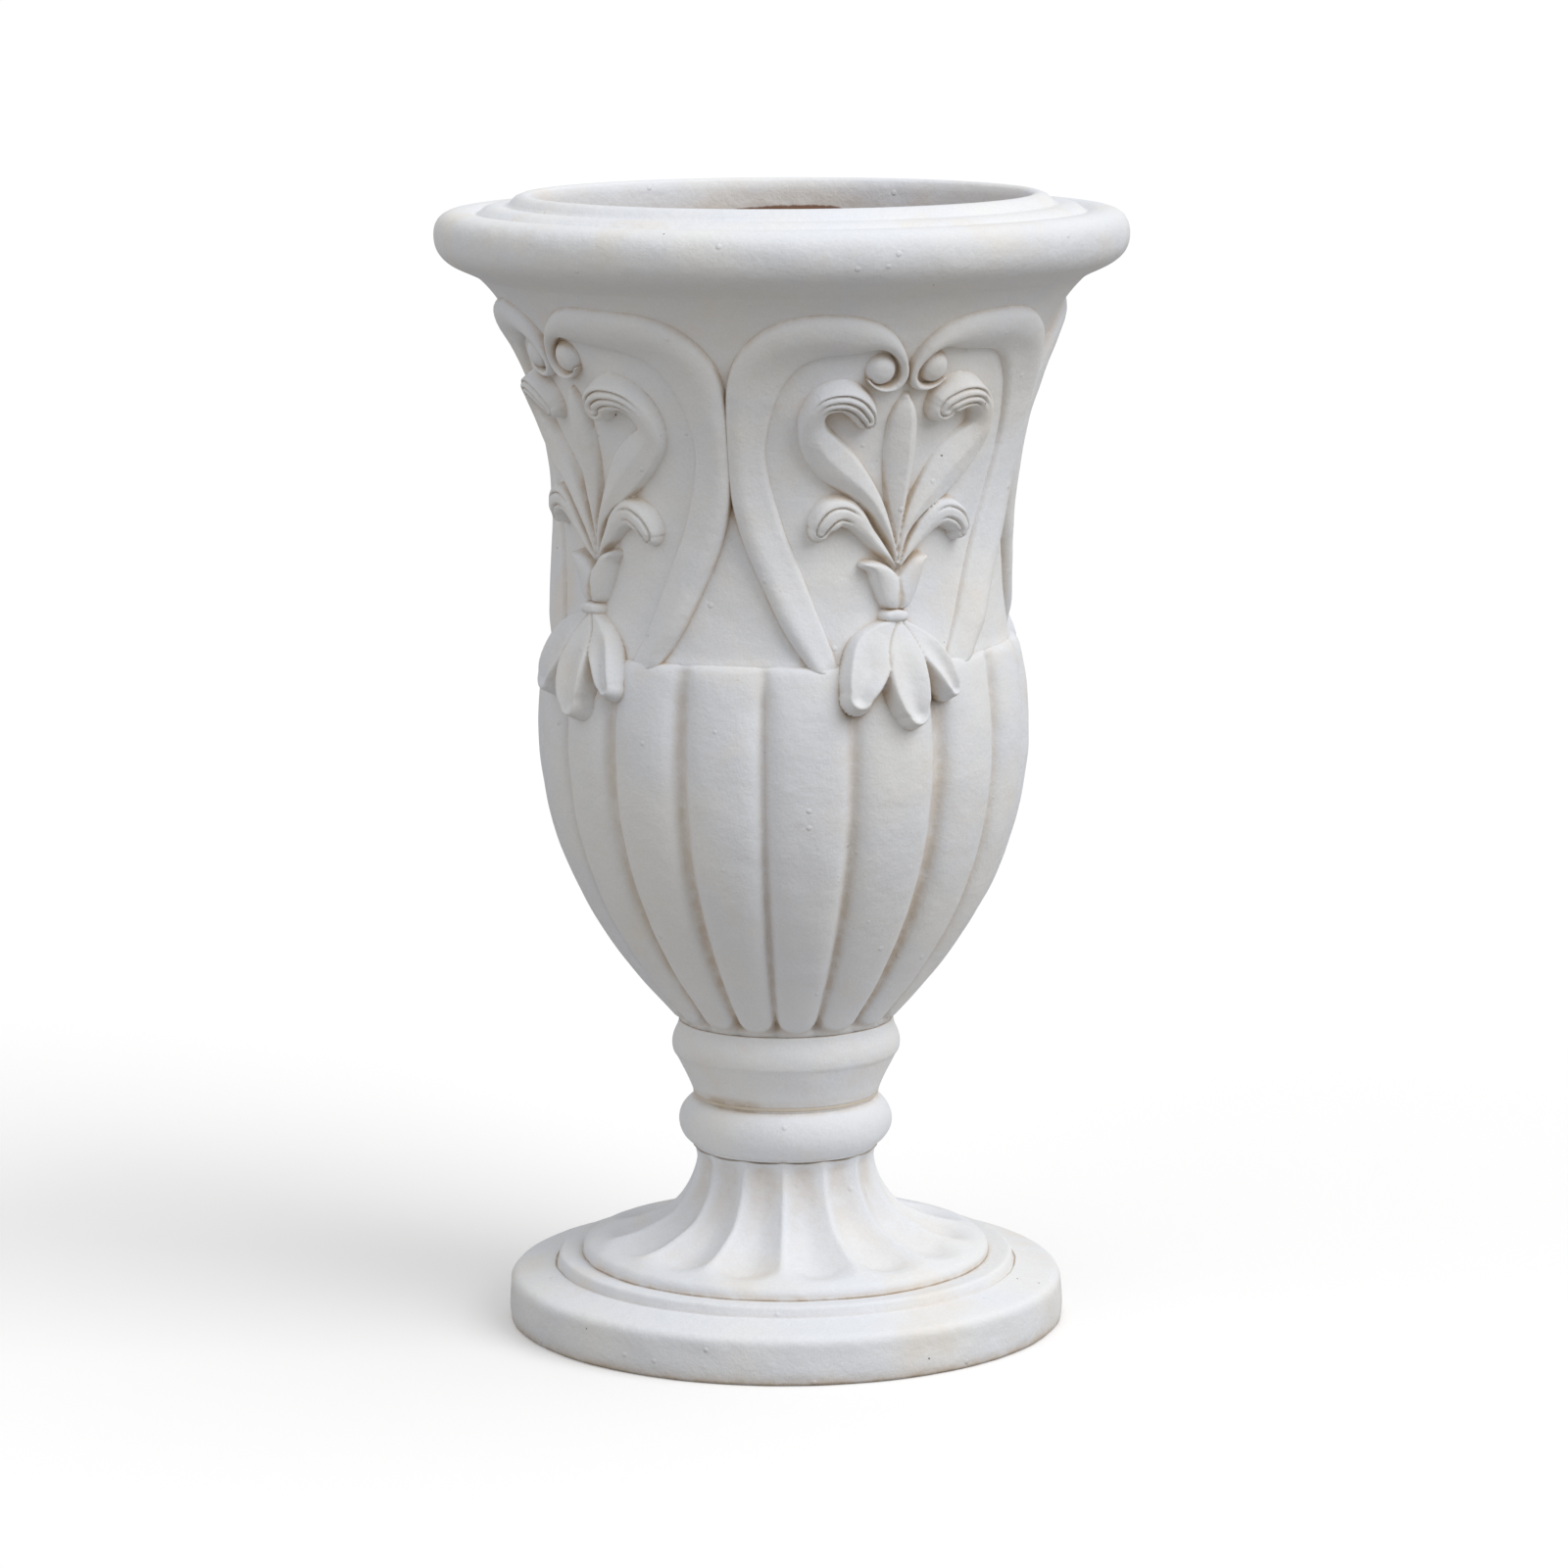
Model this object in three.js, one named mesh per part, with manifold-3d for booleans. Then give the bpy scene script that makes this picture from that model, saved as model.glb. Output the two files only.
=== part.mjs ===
// Classical urn planter in limewashed terracotta: a stepped plinth, a fluted foot, a knop, a gadrooned
// bowl, a waisted neck with four sprigged scroll and palmette ornaments, and a rolled rim.
// Units are millimetres. +Z is up, the origin is the centre of the flat underside, and the first
// ornament faces -Y. Angles are degrees round the urn from -Y towards +X.
import * as THREE from 'three';
import { mergeVertices } from 'three/addons/utils/BufferGeometryUtils.js';
import Module from 'manifold-3d';

const wasm = await Module();
wasm.setup();

// Driving dimensions: heights of the stacked sections
const plinthHeight = 41;
const footHeight = 68;
const knopHeight = 32.5;
const bedThickness = 2;
const collarHeight = 46.5;
const bowlHeight = 240;
const neckHeight = 220;
const rimHeight = 50;

// Driving dimensions: outside radii
const plinthRadius = 174;
const stepRadius = 142;
const footRadius = 126.5;
const footNeckRadius = 56;
const knopRadius = 67;
const knopBulge = 15;
const knopLip = 0.7;
const collarRadius = 71.4;
const bowlBaseRadius = 66;
const bellyRadius = 151.8;
const shoulderRadius = 142.8;
const neckBaseRadius = 138.6;
const neckWaistRadius = 133.2;
const neckTopRadius = 184;
const rimRadius = 212;
const mouthRadius = 152.8;

// Driving dimensions: heights within a section
const plinthEdgeHeight = 29;
const footingWidth = 34;
const stepFootHeight = 34.2;
const bellyHeight = 186;
const shoulderDrop = 4.2;
const neckWaistHeight = 62;
const rimBulgeHeight = 26;
const crownDrop = 9.5;
const throatStep = 5;

// Driving dimensions: walls, bores and joints
const wallThickness = 17;
const floorThickness = 16;
const drainRadius = 14;
const footBoreRadius = 37;
const collarBoreRadius = 30;
const footSpigotRadius = 97;
const footSpigotDepth = 6;
const collarSpigotRadius = 43;
const collarSpigotDepth = 9;
const lutingGap = 1;
const seatGap = 0.4;

// Driving dimensions: flutes and gadroons
const fluteCount = 14;
const fluteDepth = 6;
const fluteMargin = 11;
const fluteRunIn = 19;
const fluteTurn = -3.6;
const lobeCount = 18;
const lobeDepth = 4;
const lobeRunIn = 26;

// Driving dimensions: sprigged ornament
const ornamentLobes = [0, 5, 9, 14];
const panelGap = 2.8;
const reliefClearance = 10;
const scrollWidth = 24.5;
const scrollFootWidth = 19;
const scrollTipWidth = 3;
const scrollThickness = 6.5;
const voluteRadius = 17;
const lapLift = 0.4;
const berryClearance = 0.6;
const berryRise = 7.5;
const spearWidth = 22;
const spearRise = 7;
const upperLeafWidth = 23;
const upperLeafRise = 12;
const lowerLeafWidth = 18.5;
const lowerLeafRise = 10.5;
const calyxWidth = 20;
const calyxRise = 10;
const tieBeadWidth = 19;
const tieBeadHeight = 8.6;
const tieBeadRise = 8;
const petalWidth = 26;
const petalRise = 12;

// Steps of the faceted rounds
const ringSteps = 32;
const boreSteps = 20;
const mergeTolerance = 1e-4;

// Heights of the seats between the sections, from the ground
const footBase = plinthHeight;
const knopBase = footBase + footHeight;
const bedBase = knopBase + knopHeight;
const collarBase = bedBase + bedThickness;
const bowlBase = collarBase + collarHeight;
const neckBase = bowlBase + bowlHeight;
const rimBase = neckBase + neckHeight;
const urnHeight = rimBase + rimHeight;

// The ornament fills the neck up to a clearance under the rim
const reliefHeight = neckHeight - reliefClearance;

// ---------------------------------------------------------------- profiles

const at = (radius, height) => new THREE.Vector2(radius, height);

function roundTo(path, controlRadius, controlHeight, radius, height) {
  path.quadraticCurveTo(controlRadius, controlHeight, radius, height);
}

// Points of a path with round stretches cut in equal steps and repeated points left out.
function profilePoints(path, steps) {
  const points = path.getPoints(steps);
  return points.filter((point, i) => i === 0 || point.distanceTo(points[i - 1]) > mergeTolerance);
}

function plinthProfile() {
  const underEdge = 4;
  const shoulder = 11;
  const stepRound = 6;
  const socket = footSpigotRadius + lutingGap;
  const path = new THREE.Path();
  path.moveTo(plinthRadius - footingWidth, 0);
  path.lineTo(plinthRadius - underEdge, 0);
  roundTo(path, plinthRadius, 0, plinthRadius, underEdge);
  path.lineTo(plinthRadius, plinthEdgeHeight - shoulder);
  roundTo(path, plinthRadius, plinthEdgeHeight, plinthRadius - shoulder, plinthEdgeHeight);
  path.lineTo(stepRadius, stepFootHeight);
  roundTo(path, stepRadius, plinthHeight, stepRadius - stepRound, plinthHeight);
  path.lineTo(socket, plinthHeight);
  path.lineTo(socket, plinthHeight - footSpigotDepth - underEdge);
  path.lineTo(plinthRadius - footingWidth - shoulder, plinthEdgeHeight - shoulder);
  return profilePoints(path, 2);
}

function knopProfile() {
  const middle = knopBase + knopHeight / 2;
  const halfHeight = knopHeight / 2 - knopLip;
  const lipAngle = Math.acos((footNeckRadius + knopLip - knopRadius + knopBulge) / knopBulge);
  const points = [at(footBoreRadius, knopBase), at(footNeckRadius, knopBase)];
  const steps = 6;
  for (let i = 0; i <= steps; i++) {
    const angle = -lipAngle + 2 * lipAngle * i / steps;
    points.push(at(knopRadius + knopBulge * (Math.cos(angle) - 1), middle + halfHeight * Math.sin(angle)));
  }
  const socket = collarSpigotRadius + lutingGap;
  points.push(at(footNeckRadius, bedBase), at(socket, bedBase));
  const seat = bedBase - collarSpigotDepth - lutingGap;
  points.push(at(socket, seat), at(footBoreRadius, seat));
  return points;
}

function bedProfile() {
  const inner = collarSpigotRadius + lutingGap;
  const outer = footNeckRadius - 0.5;
  return [at(inner, bedBase), at(outer, bedBase), at(outer, collarBase), at(inner, collarBase)];
}

function collarProfile() {
  const bedOverhang = 1.6;
  const coneFoot = 4.6;
  const coneHead = 4.4;
  const rollInset = 2;
  const headInset = 0.4;
  const boreFlare = 12;
  const coneTop = collarBase + collarHeight * 0.4;
  const flank = new THREE.SplineCurve([
    at(footNeckRadius + bedOverhang, collarBase),
    at(footNeckRadius + coneFoot, collarBase + collarHeight * 0.16),
    at(collarRadius - coneHead, coneTop),
    at(collarRadius, collarBase + collarHeight * 0.65),
    at(collarRadius - rollInset, collarBase + collarHeight * 0.83),
    at(bowlBaseRadius - headInset, bowlBase),
  ]);
  const spigotFoot = collarBase - collarSpigotDepth - bedThickness;
  return [
    at(collarBoreRadius, spigotFoot),
    at(collarSpigotRadius, spigotFoot),
    at(collarSpigotRadius, collarBase),
    ...flank.getSpacedPoints(6),
    at(collarBoreRadius + boreFlare, bowlBase),
    at(collarBoreRadius, coneTop),
  ];
}

// Flare of the foot above its lip, as [distance out from the foot's neck, share of the foot's height].
const footFlare = [[54.5, 0.17], [27, 0.324], [16, 0.42], [8, 0.57], [3, 0.74], [0, 1]];

// Line of the rib crests of the foot, from the lip up to the knop.
function footCrest() {
  const lipSide = 3.6;
  const lipHeight = 7.4;
  const lipRound = 5;
  const lip = new THREE.Path();
  lip.moveTo(footRadius, footBase);
  lip.lineTo(footRadius, footBase + lipSide);
  roundTo(lip, footRadius, footBase + lipHeight, footRadius - lipRound, footBase + lipHeight);
  const flare = new THREE.SplineCurve([
    at(footRadius - lipRound, footBase + lipHeight),
    ...footFlare.map(([out, up]) => at(footNeckRadius + out, footBase + footHeight * up)),
  ]);
  return [...profilePoints(lip, 2), ...flare.getSpacedPoints(7).slice(1)];
}

// Bowl outside, along the crests of the lobes: base, belly, shoulder, ledge under the neck.
function bowlCrest() {
  const flareOut = 35;
  const flareUp = 37;
  const bellyPull = 0.51;
  const bellyRound = 16;
  const shoulderRoundOut = 6;
  const shoulderRoundDown = 13;
  const ledgeOverhang = 1;
  const belly = bowlBase + bellyHeight;
  const ledge = neckBase - shoulderDrop;
  const lower = new THREE.CubicBezierCurve(
    at(bowlBaseRadius, bowlBase),
    at(bowlBaseRadius + flareOut, bowlBase + flareUp),
    at(bellyRadius, belly - bellyHeight * bellyPull),
    at(bellyRadius, belly),
  );
  const upper = new THREE.CubicBezierCurve(
    at(bellyRadius, belly),
    at(bellyRadius, belly + bellyRound),
    at(shoulderRadius + shoulderRoundOut, ledge - shoulderRoundDown),
    at(shoulderRadius, ledge),
  );
  return [
    ...lower.getSpacedPoints(6),
    ...upper.getSpacedPoints(2).slice(1),
    at(neckBaseRadius + ledgeOverhang, neckBase),
  ];
}

function neckFlank() {
  const waist = neckBase + neckWaistHeight;
  const rise = rimBase - waist;
  const lower = new THREE.CubicBezierCurve(
    at(neckBaseRadius, neckBase),
    at(neckBaseRadius - 2.6, neckBase + neckWaistHeight * 0.26),
    at(neckWaistRadius, waist - neckWaistHeight * 0.35),
    at(neckWaistRadius, waist),
  );
  const upper = new THREE.CubicBezierCurve(
    at(neckWaistRadius, waist),
    at(neckWaistRadius, waist + rise * 0.335),
    at(neckTopRadius - 32, rimBase - rise * 0.2),
    at(neckTopRadius, rimBase),
  );
  return [...lower.getSpacedPoints(2), ...upper.getSpacedPoints(7).slice(1)];
}

function neckProfile() {
  const throat = mouthRadius - throatStep;
  const flareStart = 8;
  return [
    ...neckFlank(),
    at(throat, rimBase),
    at(throat, rimBase - neckHeight * 0.12),
    at(neckWaistRadius - wallThickness + flareStart, neckBase + neckHeight * 0.56),
    at(neckWaistRadius - wallThickness, neckBase + neckWaistHeight),
    at(neckBaseRadius - wallThickness, neckBase),
  ];
}

// The rim's underside and roll, the crease inside the roll, the middle ring and the ring at the mouth.
function rimProfile() {
  const underRound = 6;
  const rollWidth = 14;
  const creaseInset = 26;
  const creaseDepth = 3.5;
  const ringInset = 36;
  const ringRise = 3.6;
  const lipWidth = 13;
  const lipRound = 5;
  const bulge = rimBase + rimBulgeHeight;
  const crown = urnHeight - crownDrop;
  const path = new THREE.Path();
  path.moveTo(mouthRadius - throatStep, rimBase);
  path.lineTo(neckTopRadius, rimBase);
  roundTo(path, rimRadius - underRound, rimBase + underRound, rimRadius, bulge);
  roundTo(path, rimRadius, crown, rimRadius - rollWidth, crown);
  roundTo(path, rimRadius - creaseInset + 3, crown, rimRadius - creaseInset, crown - creaseDepth);
  roundTo(path, rimRadius - creaseInset - 1.5, crown + ringRise - 1, rimRadius - ringInset, crown + ringRise);
  roundTo(path, mouthRadius + lipWidth + 4, crown + ringRise, mouthRadius + lipWidth, crown + ringRise - 0.6);
  roundTo(path, mouthRadius + lipWidth - 2, urnHeight - 0.8, mouthRadius + lipRound, urnHeight);
  path.lineTo(mouthRadius, urnHeight);
  roundTo(path, mouthRadius - lipRound / 2, urnHeight - 1, mouthRadius - 3, urnHeight - 7);
  return profilePoints(path, 2);
}

// ---------------------------------------------------------------- solids

const radians = THREE.MathUtils.degToRad;

function roundTheUrn(radius, angle, height) {
  const turn = radians(angle);
  return new THREE.Vector3(radius * Math.sin(turn), -radius * Math.cos(turn), height);
}

function signedVolume(geometry) {
  const corner = i => new THREE.Vector3().fromBufferAttribute(geometry.attributes.position, geometry.index.getX(i));
  let sum = 0;
  for (let i = 0; i < geometry.index.count; i += 3) {
    sum += corner(i).dot(corner(i + 1).cross(corner(i + 2)));
  }
  return sum / 6;
}

// Turns every face over where the body was wound inside out.
function facingOut(geometry) {
  if (signedVolume(geometry) < 0) {
    const index = geometry.index.array;
    for (let i = 0; i < index.length; i += 3) {
      [index[i], index[i + 1]] = [index[i + 1], index[i]];
    }
  }
  return geometry;
}

// One closed body through rings of equal point count, with a fan over the first and the last ring.
function loft(rings) {
  const size = rings[0].length;
  const middles = [rings[0], rings[rings.length - 1]].map(ring =>
    ring.reduce((sum, point) => sum.add(point), new THREE.Vector3()).divideScalar(size));
  const points = [...rings.flat(), ...middles];
  const lastRing = (rings.length - 1) * size;
  const index = [];
  for (let j = 0; j < size; j++) {
    const k = (j + 1) % size;
    for (let start = 0; start < lastRing; start += size) {
      index.push(start + j, start + k, start + size + k);
      index.push(start + j, start + size + k, start + size + j);
    }
    index.push(points.length - 2, k, j);
    index.push(points.length - 1, lastRing + j, lastRing + k);
  }
  const geometry = new THREE.BufferGeometry();
  geometry.setAttribute('position', new THREE.Float32BufferAttribute(points.flatMap(p => p.toArray()), 3));
  geometry.setIndex(index);
  return facingOut(geometry);
}

// A ring turned from a closed profile of [radius, height] points.
function turned(profile, steps) {
  const geometry = new THREE.LatheGeometry([...profile, profile[0]], steps);
  geometry.rotateX(Math.PI / 2);
  geometry.deleteAttribute('normal');
  geometry.deleteAttribute('uv');
  return facingOut(mergeVertices(geometry, mergeTolerance));
}

function toSolid(geometry) {
  const vertProperties = new Float32Array(geometry.attributes.position.array);
  const triVerts = new Uint32Array(geometry.index.array);
  return new wasm.Manifold(new wasm.Mesh({ numProp: 3, vertProperties, triVerts }));
}

function toGeometry(solid) {
  const mesh = solid.getMesh();
  const geometry = new THREE.BufferGeometry();
  geometry.setAttribute('position', new THREE.BufferAttribute(new Float32Array(mesh.vertProperties), 3));
  geometry.setIndex(new THREE.BufferAttribute(new Uint32Array(mesh.triVerts), 1));
  return geometry;
}

// Full round body on a profile: what is cut out of a section to make it hollow.
function core(profile) {
  const angles = Array.from({ length: boreSteps }, (_, j) => 360 * j / boreSteps);
  return toSolid(loft(profile.map(p => angles.map(angle => roundTheUrn(p.x, angle, p.y)))));
}

// ---------------------------------------------------------------- fluted foot and gadrooned bowl

// Where points lie across one flute or lobe, as a share of its pitch, and how deep each is cut.
const fluteSection = [[0, 0], [0.24, 0.3], [0.5, 1], [0.76, 0.3]];
const lobeSection = [[0, 0], [0.32, 0.16], [0.5, 1], [0.68, 0.16]];

// A solid whose outline is cut in by repeated grooves. Depth is measured square to the crest line.
function groovedSolid(crest, section, count, turn, depthAt) {
  const rings = crest.map((point, i) => {
    const before = crest[Math.max(i - 1, 0)];
    const after = crest[Math.min(i + 1, crest.length - 1)];
    const along = after.clone().sub(before).normalize();
    const ends = i === 0 || i === crest.length - 1;
    const inward = ends ? at(-1, 0) : at(-along.y, along.x);
    const ring = [];
    for (let n = 0; n < count; n++) {
      for (const [share, cut] of section) {
        const cutPoint = point.clone().addScaledVector(inward, depthAt(point, i) * cut);
        ring.push(roundTheUrn(cutPoint.x, turn + 360 * (n + share) / count, cutPoint.y));
      }
    }
    return ring;
  });
  return toSolid(loft(rings));
}

function flutedFoot() {
  const fluteEnd = footRadius - fluteMargin;
  const depthAt = point => fluteDepth * THREE.MathUtils.smoothstep(fluteEnd - point.x, 0, fluteRunIn);
  const body = groovedSolid(footCrest(), fluteSection, fluteCount, fluteTurn, depthAt);
  const spigot = core([at(footSpigotRadius, footBase - footSpigotDepth), at(footSpigotRadius, footBase + 1)]);
  const bore = new THREE.SplineCurve([
    at(footSpigotRadius - 13, footBase - footSpigotDepth - 1),
    at(footNeckRadius + 16, footBase + 4),
    at(footBoreRadius + 9, footBase + footHeight * 0.38),
    at(footBoreRadius, footBase + footHeight * 0.7),
    at(footBoreRadius, knopBase + 1),
  ]);
  return toGeometry(body.add(spigot).subtract(core(bore.getSpacedPoints(5))));
}

function gadroonedBowl() {
  const crest = bowlCrest();
  const depthAt = (point, i) => (i === crest.length - 1 ? 0
    : lobeDepth * THREE.MathUtils.smoothstep(point.y, bowlBase - lobeRunIn, bowlBase + lobeRunIn));
  const body = groovedSolid(crest, lobeSection, lobeCount, 0, depthAt);
  const belly = bowlBase + bellyHeight;
  const floor = bowlBase + floorThickness;
  const floorRound = 10;
  const innerBelly = bellyRadius - wallThickness - lobeDepth;
  const throat = neckBaseRadius - wallThickness;
  const inside = new THREE.SplineCurve([
    at(bowlBaseRadius + 6, floor + floorRound),
    at(innerBelly - 30, bowlBase + bellyHeight * 0.32),
    at(innerBelly - 4, bowlBase + bellyHeight * 0.73),
    at(innerBelly, belly),
    at(throat + 4, neckBase - 14),
    at(throat, neckBase),
  ]);
  const hollow = [
    at(drainRadius, bowlBase - 1),
    at(drainRadius, floor),
    at(bowlBaseRadius - floorRound - 4, floor + 1),
    ...inside.getSpacedPoints(5),
    at(throat, neckBase + 1),
  ];
  return toGeometry(body.subtract(core(hollow)));
}

// ---------------------------------------------------------------- ornament laid on the wall

const wallLine = [...bowlCrest(), ...neckFlank().slice(1)];
const ledgeReach = 4;
const slopeReach = 7;

function lineRadius(height) {
  const i = wallLine.findIndex(point => point.y >= height);
  if (i < 1) {
    return wallLine[i === 0 ? 0 : wallLine.length - 1].x;
  }
  const share = (height - wallLine[i - 1].y) / (wallLine[i].y - wallLine[i - 1].y);
  return THREE.MathUtils.lerp(wallLine[i - 1].x, wallLine[i].x, share);
}

// Outside of the neck alone, carried straight down past its foot.
const neckWall = height => lineRadius(Math.max(height, neckBase + 0.1));

// Outside of the wall for a sprig that laps over the shoulder and bridges the corner of its ledge.
function shoulderWall(height) {
  return Math.max(lineRadius(height - ledgeReach), lineRadius(height), lineRadius(height + ledgeReach));
}

// Where an ornament stands, and half the angle to the next one on its left (-1) and right (+1).
function ornamentPanel(number) {
  const count = ornamentLobes.length;
  const lobes = ornamentLobes[number];
  const next = number + 1 < count ? ornamentLobes[number + 1] : lobeCount + ornamentLobes[0];
  const last = number > 0 ? ornamentLobes[number - 1] : ornamentLobes[count - 1] - lobeCount;
  const pitch = 360 / lobeCount;
  return {
    azimuth: lobes * pitch,
    halfAngle: { '-1': (lobes - last) * pitch / 2, 1: (next - lobes) * pitch / 2 },
  };
}

const panels = ornamentLobes.map((_, number) => ornamentPanel(number));
const narrowHalf = Math.min(...panels.flatMap(panel => Object.values(panel.halfAngle)));
const panelRadius = (neckBaseRadius + bellyRadius) / 2;
const panelEdge = radians(narrowHalf) * panelRadius - panelGap / 2;

// A place on an ornament, from shares of its half width (out from its middle line) and of its height.
const place = ([across, up]) => at(across * panelEdge, up * reliefHeight);

// A sprig's own frame: x runs along the wall from the ornament's middle line outwards on its side, in
// mm at the panel radius, y runs up from the shoulder and rise stands square off the wall. On a wide
// side the outer part is drawn out, so that neighbouring scrolls still meet half way.
function onWall(spot, x, y, rise) {
  const { panel, side, wall, lap = 0 } = spot;
  const drawOut = panel.halfAngle[side] / narrowHalf - 1;
  const outward = Math.min(Math.abs(x) / panelEdge, 1);
  const angle = THREE.MathUtils.radToDeg(x / panelRadius) * (1 + drawOut * outward ** 3.5);
  const height = neckBase + y;
  const slope = (wall(height + slopeReach) - wall(height - slopeReach)) / (2 * slopeReach);
  const off = (seatGap + lap * lapLift + rise) / Math.hypot(1, slope);
  return roundTheUrn(wall(height) + off, panel.azimuth + side * angle, height - off * slope);
}

// A stop is [share of the length, value]. Values between stops follow straight lines.
function between(stops, share) {
  const i = Math.max(stops.findIndex(stop => stop[0] >= share), 1);
  const [low, high] = [stops[i - 1], stops[i]];
  const part = THREE.MathUtils.clamp((share - low[0]) / (high[0] - low[0]), 0, 1);
  return THREE.MathUtils.lerp(low[1], high[1], part);
}

// Lays a tapering sprig along a line on the wall. Section points are [across, rise] as shares of the
// width and of the rise, across being measured to the left of the line.
function sprig(spot, line, steps, section, widthStops, riseStops) {
  const points = line.getSpacedPoints(steps);
  return loft(points.map((point, i) => {
    const stretch = panelRadius / spot.wall(neckBase + point.y);
    const before = points[Math.max(i - 1, 0)];
    const after = points[Math.min(i + 1, steps)];
    const along = at((after.x - before.x) / stretch, after.y - before.y).normalize();
    const width = between(widthStops, i / steps);
    const rise = between(riseStops, i / steps);
    return section.map(([across, up]) => onWall(
      spot,
      point.x - along.y * across * width * stretch,
      point.y + along.x * across * width,
      up * rise,
    ));
  }));
}

// A low round button on the wall: a berry or a bead.
function button(spot, middle, halfWidth, halfHeight, buttonRise) {
  const stretch = panelRadius / spot.wall(neckBase + middle.y);
  const corners = 8;
  const crown = [[1, 0], [0.9, 0.55], [0.5, 1]];
  return loft(crown.map(([out, up]) => Array.from({ length: corners }, (_, j) => {
    const turn = 2 * Math.PI * j / corners;
    return onWall(
      spot,
      middle.x + out * halfWidth * stretch * Math.cos(turn),
      middle.y + out * halfHeight * Math.sin(turn),
      up * buttonRise,
    );
  })));
}

const times = (stops, size) => stops.map(([share, value]) => [share, value * size]);

function lineThrough(places) {
  return new THREE.SplineCurve(places.map(place));
}

// Sections, from the base round over the top.
const strapSection = [[1, 0.03], [0.5, 0.08], [0, 0.03], [0.32, 1], [0.95, 0.62]];
const leafSection = [[-0.5, 0], [0.5, 0], [0.32, 0.8], [-0.1, 1]];
const petalSection = [[-0.5, 0], [0, 0], [0.5, 0], [0.42, 1], [0, 0.65], [-0.42, 1]];

// Outlines and centre lines of the ornament, as shares of its half width and height.
const voluteMiddle = [0.2, 0.838];
const scrollOutline = [[0.55, -0.03], [0.72, 0.1], [0.92, 0.325], [1, 0.56], [0.955, 0.795],
  [0.8, 0.928], [0.55, 0.998], [0.31, 0.985]];
const volute = [[100, 1.16], [138, 1.02], [176, 1], [212, 0.98], [248, 0.9], [284, 0.8], [312, 0.7]];
const spearLine = [[0, 0.24], [0, 0.5], [0, 0.769]];
const upperLeafLine = [[0, 0.27], [0.06, 0.37], [0.215, 0.467], [0.387, 0.55], [0.52, 0.605],
  [0.57, 0.66], [0.557, 0.725], [0.48, 0.762], [0.375, 0.76], [0.28, 0.73], [0.218, 0.69]];
const lowerLeafLine = [[0, 0.26], [0.104, 0.357], [0.213, 0.416], [0.314, 0.446], [0.416, 0.442],
  [0.481, 0.406], [0.497, 0.365]];
const calyxLine = [[0.03, 0.157], [0.035, 0.185], [0.08, 0.225], [0.16, 0.262], [0.25, 0.288]];
const middlePetalLine = [[0, 0.095], [0, -0.04], [0, -0.171]];
const sidePetalLine = [[0.03, 0.09], [0.13, 0.062], [0.22, 0.01], [0.27, -0.057], [0.29, -0.114]];
const tieBeadPlace = [0, 0.1315];

// Widths and swells of the leaves along their lines.
const spearTaper = [[0, 0.2], [0.22, 0.25], [0.42, 0.65], [0.6, 0.95], [0.74, 1], [0.87, 0.88],
  [0.95, 0.55], [1, 0.06]];
const upperLeafTaper = [[0, 0.12], [0.15, 0.35], [0.3, 0.58], [0.45, 0.68], [0.58, 0.64], [0.68, 0.85],
  [0.8, 1], [0.94, 0.95], [1, 0.6]];
const lowerLeafTaper = [[0, 0.18], [0.35, 0.42], [0.6, 0.75], [0.8, 1], [0.93, 0.9], [1, 0.5]];
const leafSwell = [[0, 0.4], [0.35, 0.58], [0.6, 0.7], [0.8, 1], [0.93, 0.95], [1, 0.6]];

// The outer edge of a scroll rises from the shoulder, bows over and winds in round its berry.
function scrollStrap(panel, side) {
  const eye = place(voluteMiddle);
  const outline = scrollOutline.map(place);
  for (const [direction, share] of volute) {
    const turn = radians(direction);
    const reach = voluteRadius * share;
    outline.push(at(eye.x + reach * Math.cos(turn), eye.y + reach * Math.sin(turn)));
  }
  const width = [[0, scrollFootWidth], [0.2, scrollWidth], [0.62, scrollWidth],
    [0.75, scrollWidth * 0.6], [0.83, scrollTipWidth * 1.7], [1, scrollTipWidth]];
  const rise = times([[0, 1], [0.8, 1], [1, 0.75]], scrollThickness);
  const spot = { panel, side, wall: neckWall };
  const strap = sprig(spot, new THREE.SplineCurve(outline), 23, strapSection, width, rise);
  return toGeometry(toSolid(strap).subtract(shoulderCut()));
}

// Everything under the shoulder's ledge, cut off the feet of the scrolls.
function shoulderCut() {
  const disc = new THREE.CylinderGeometry(rimRadius, rimRadius, bellyHeight, ringSteps);
  disc.rotateX(Math.PI / 2);
  disc.translate(0, 0, neckBase + seatGap - bellyHeight / 2);
  disc.deleteAttribute('normal');
  disc.deleteAttribute('uv');
  return toSolid(mergeVertices(disc, mergeTolerance));
}

function berry(panel, side) {
  const radius = voluteRadius * volute.at(-1)[1] - scrollTipWidth - berryClearance;
  return button({ panel, side, wall: neckWall }, place(voluteMiddle), radius, radius, berryRise);
}

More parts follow.
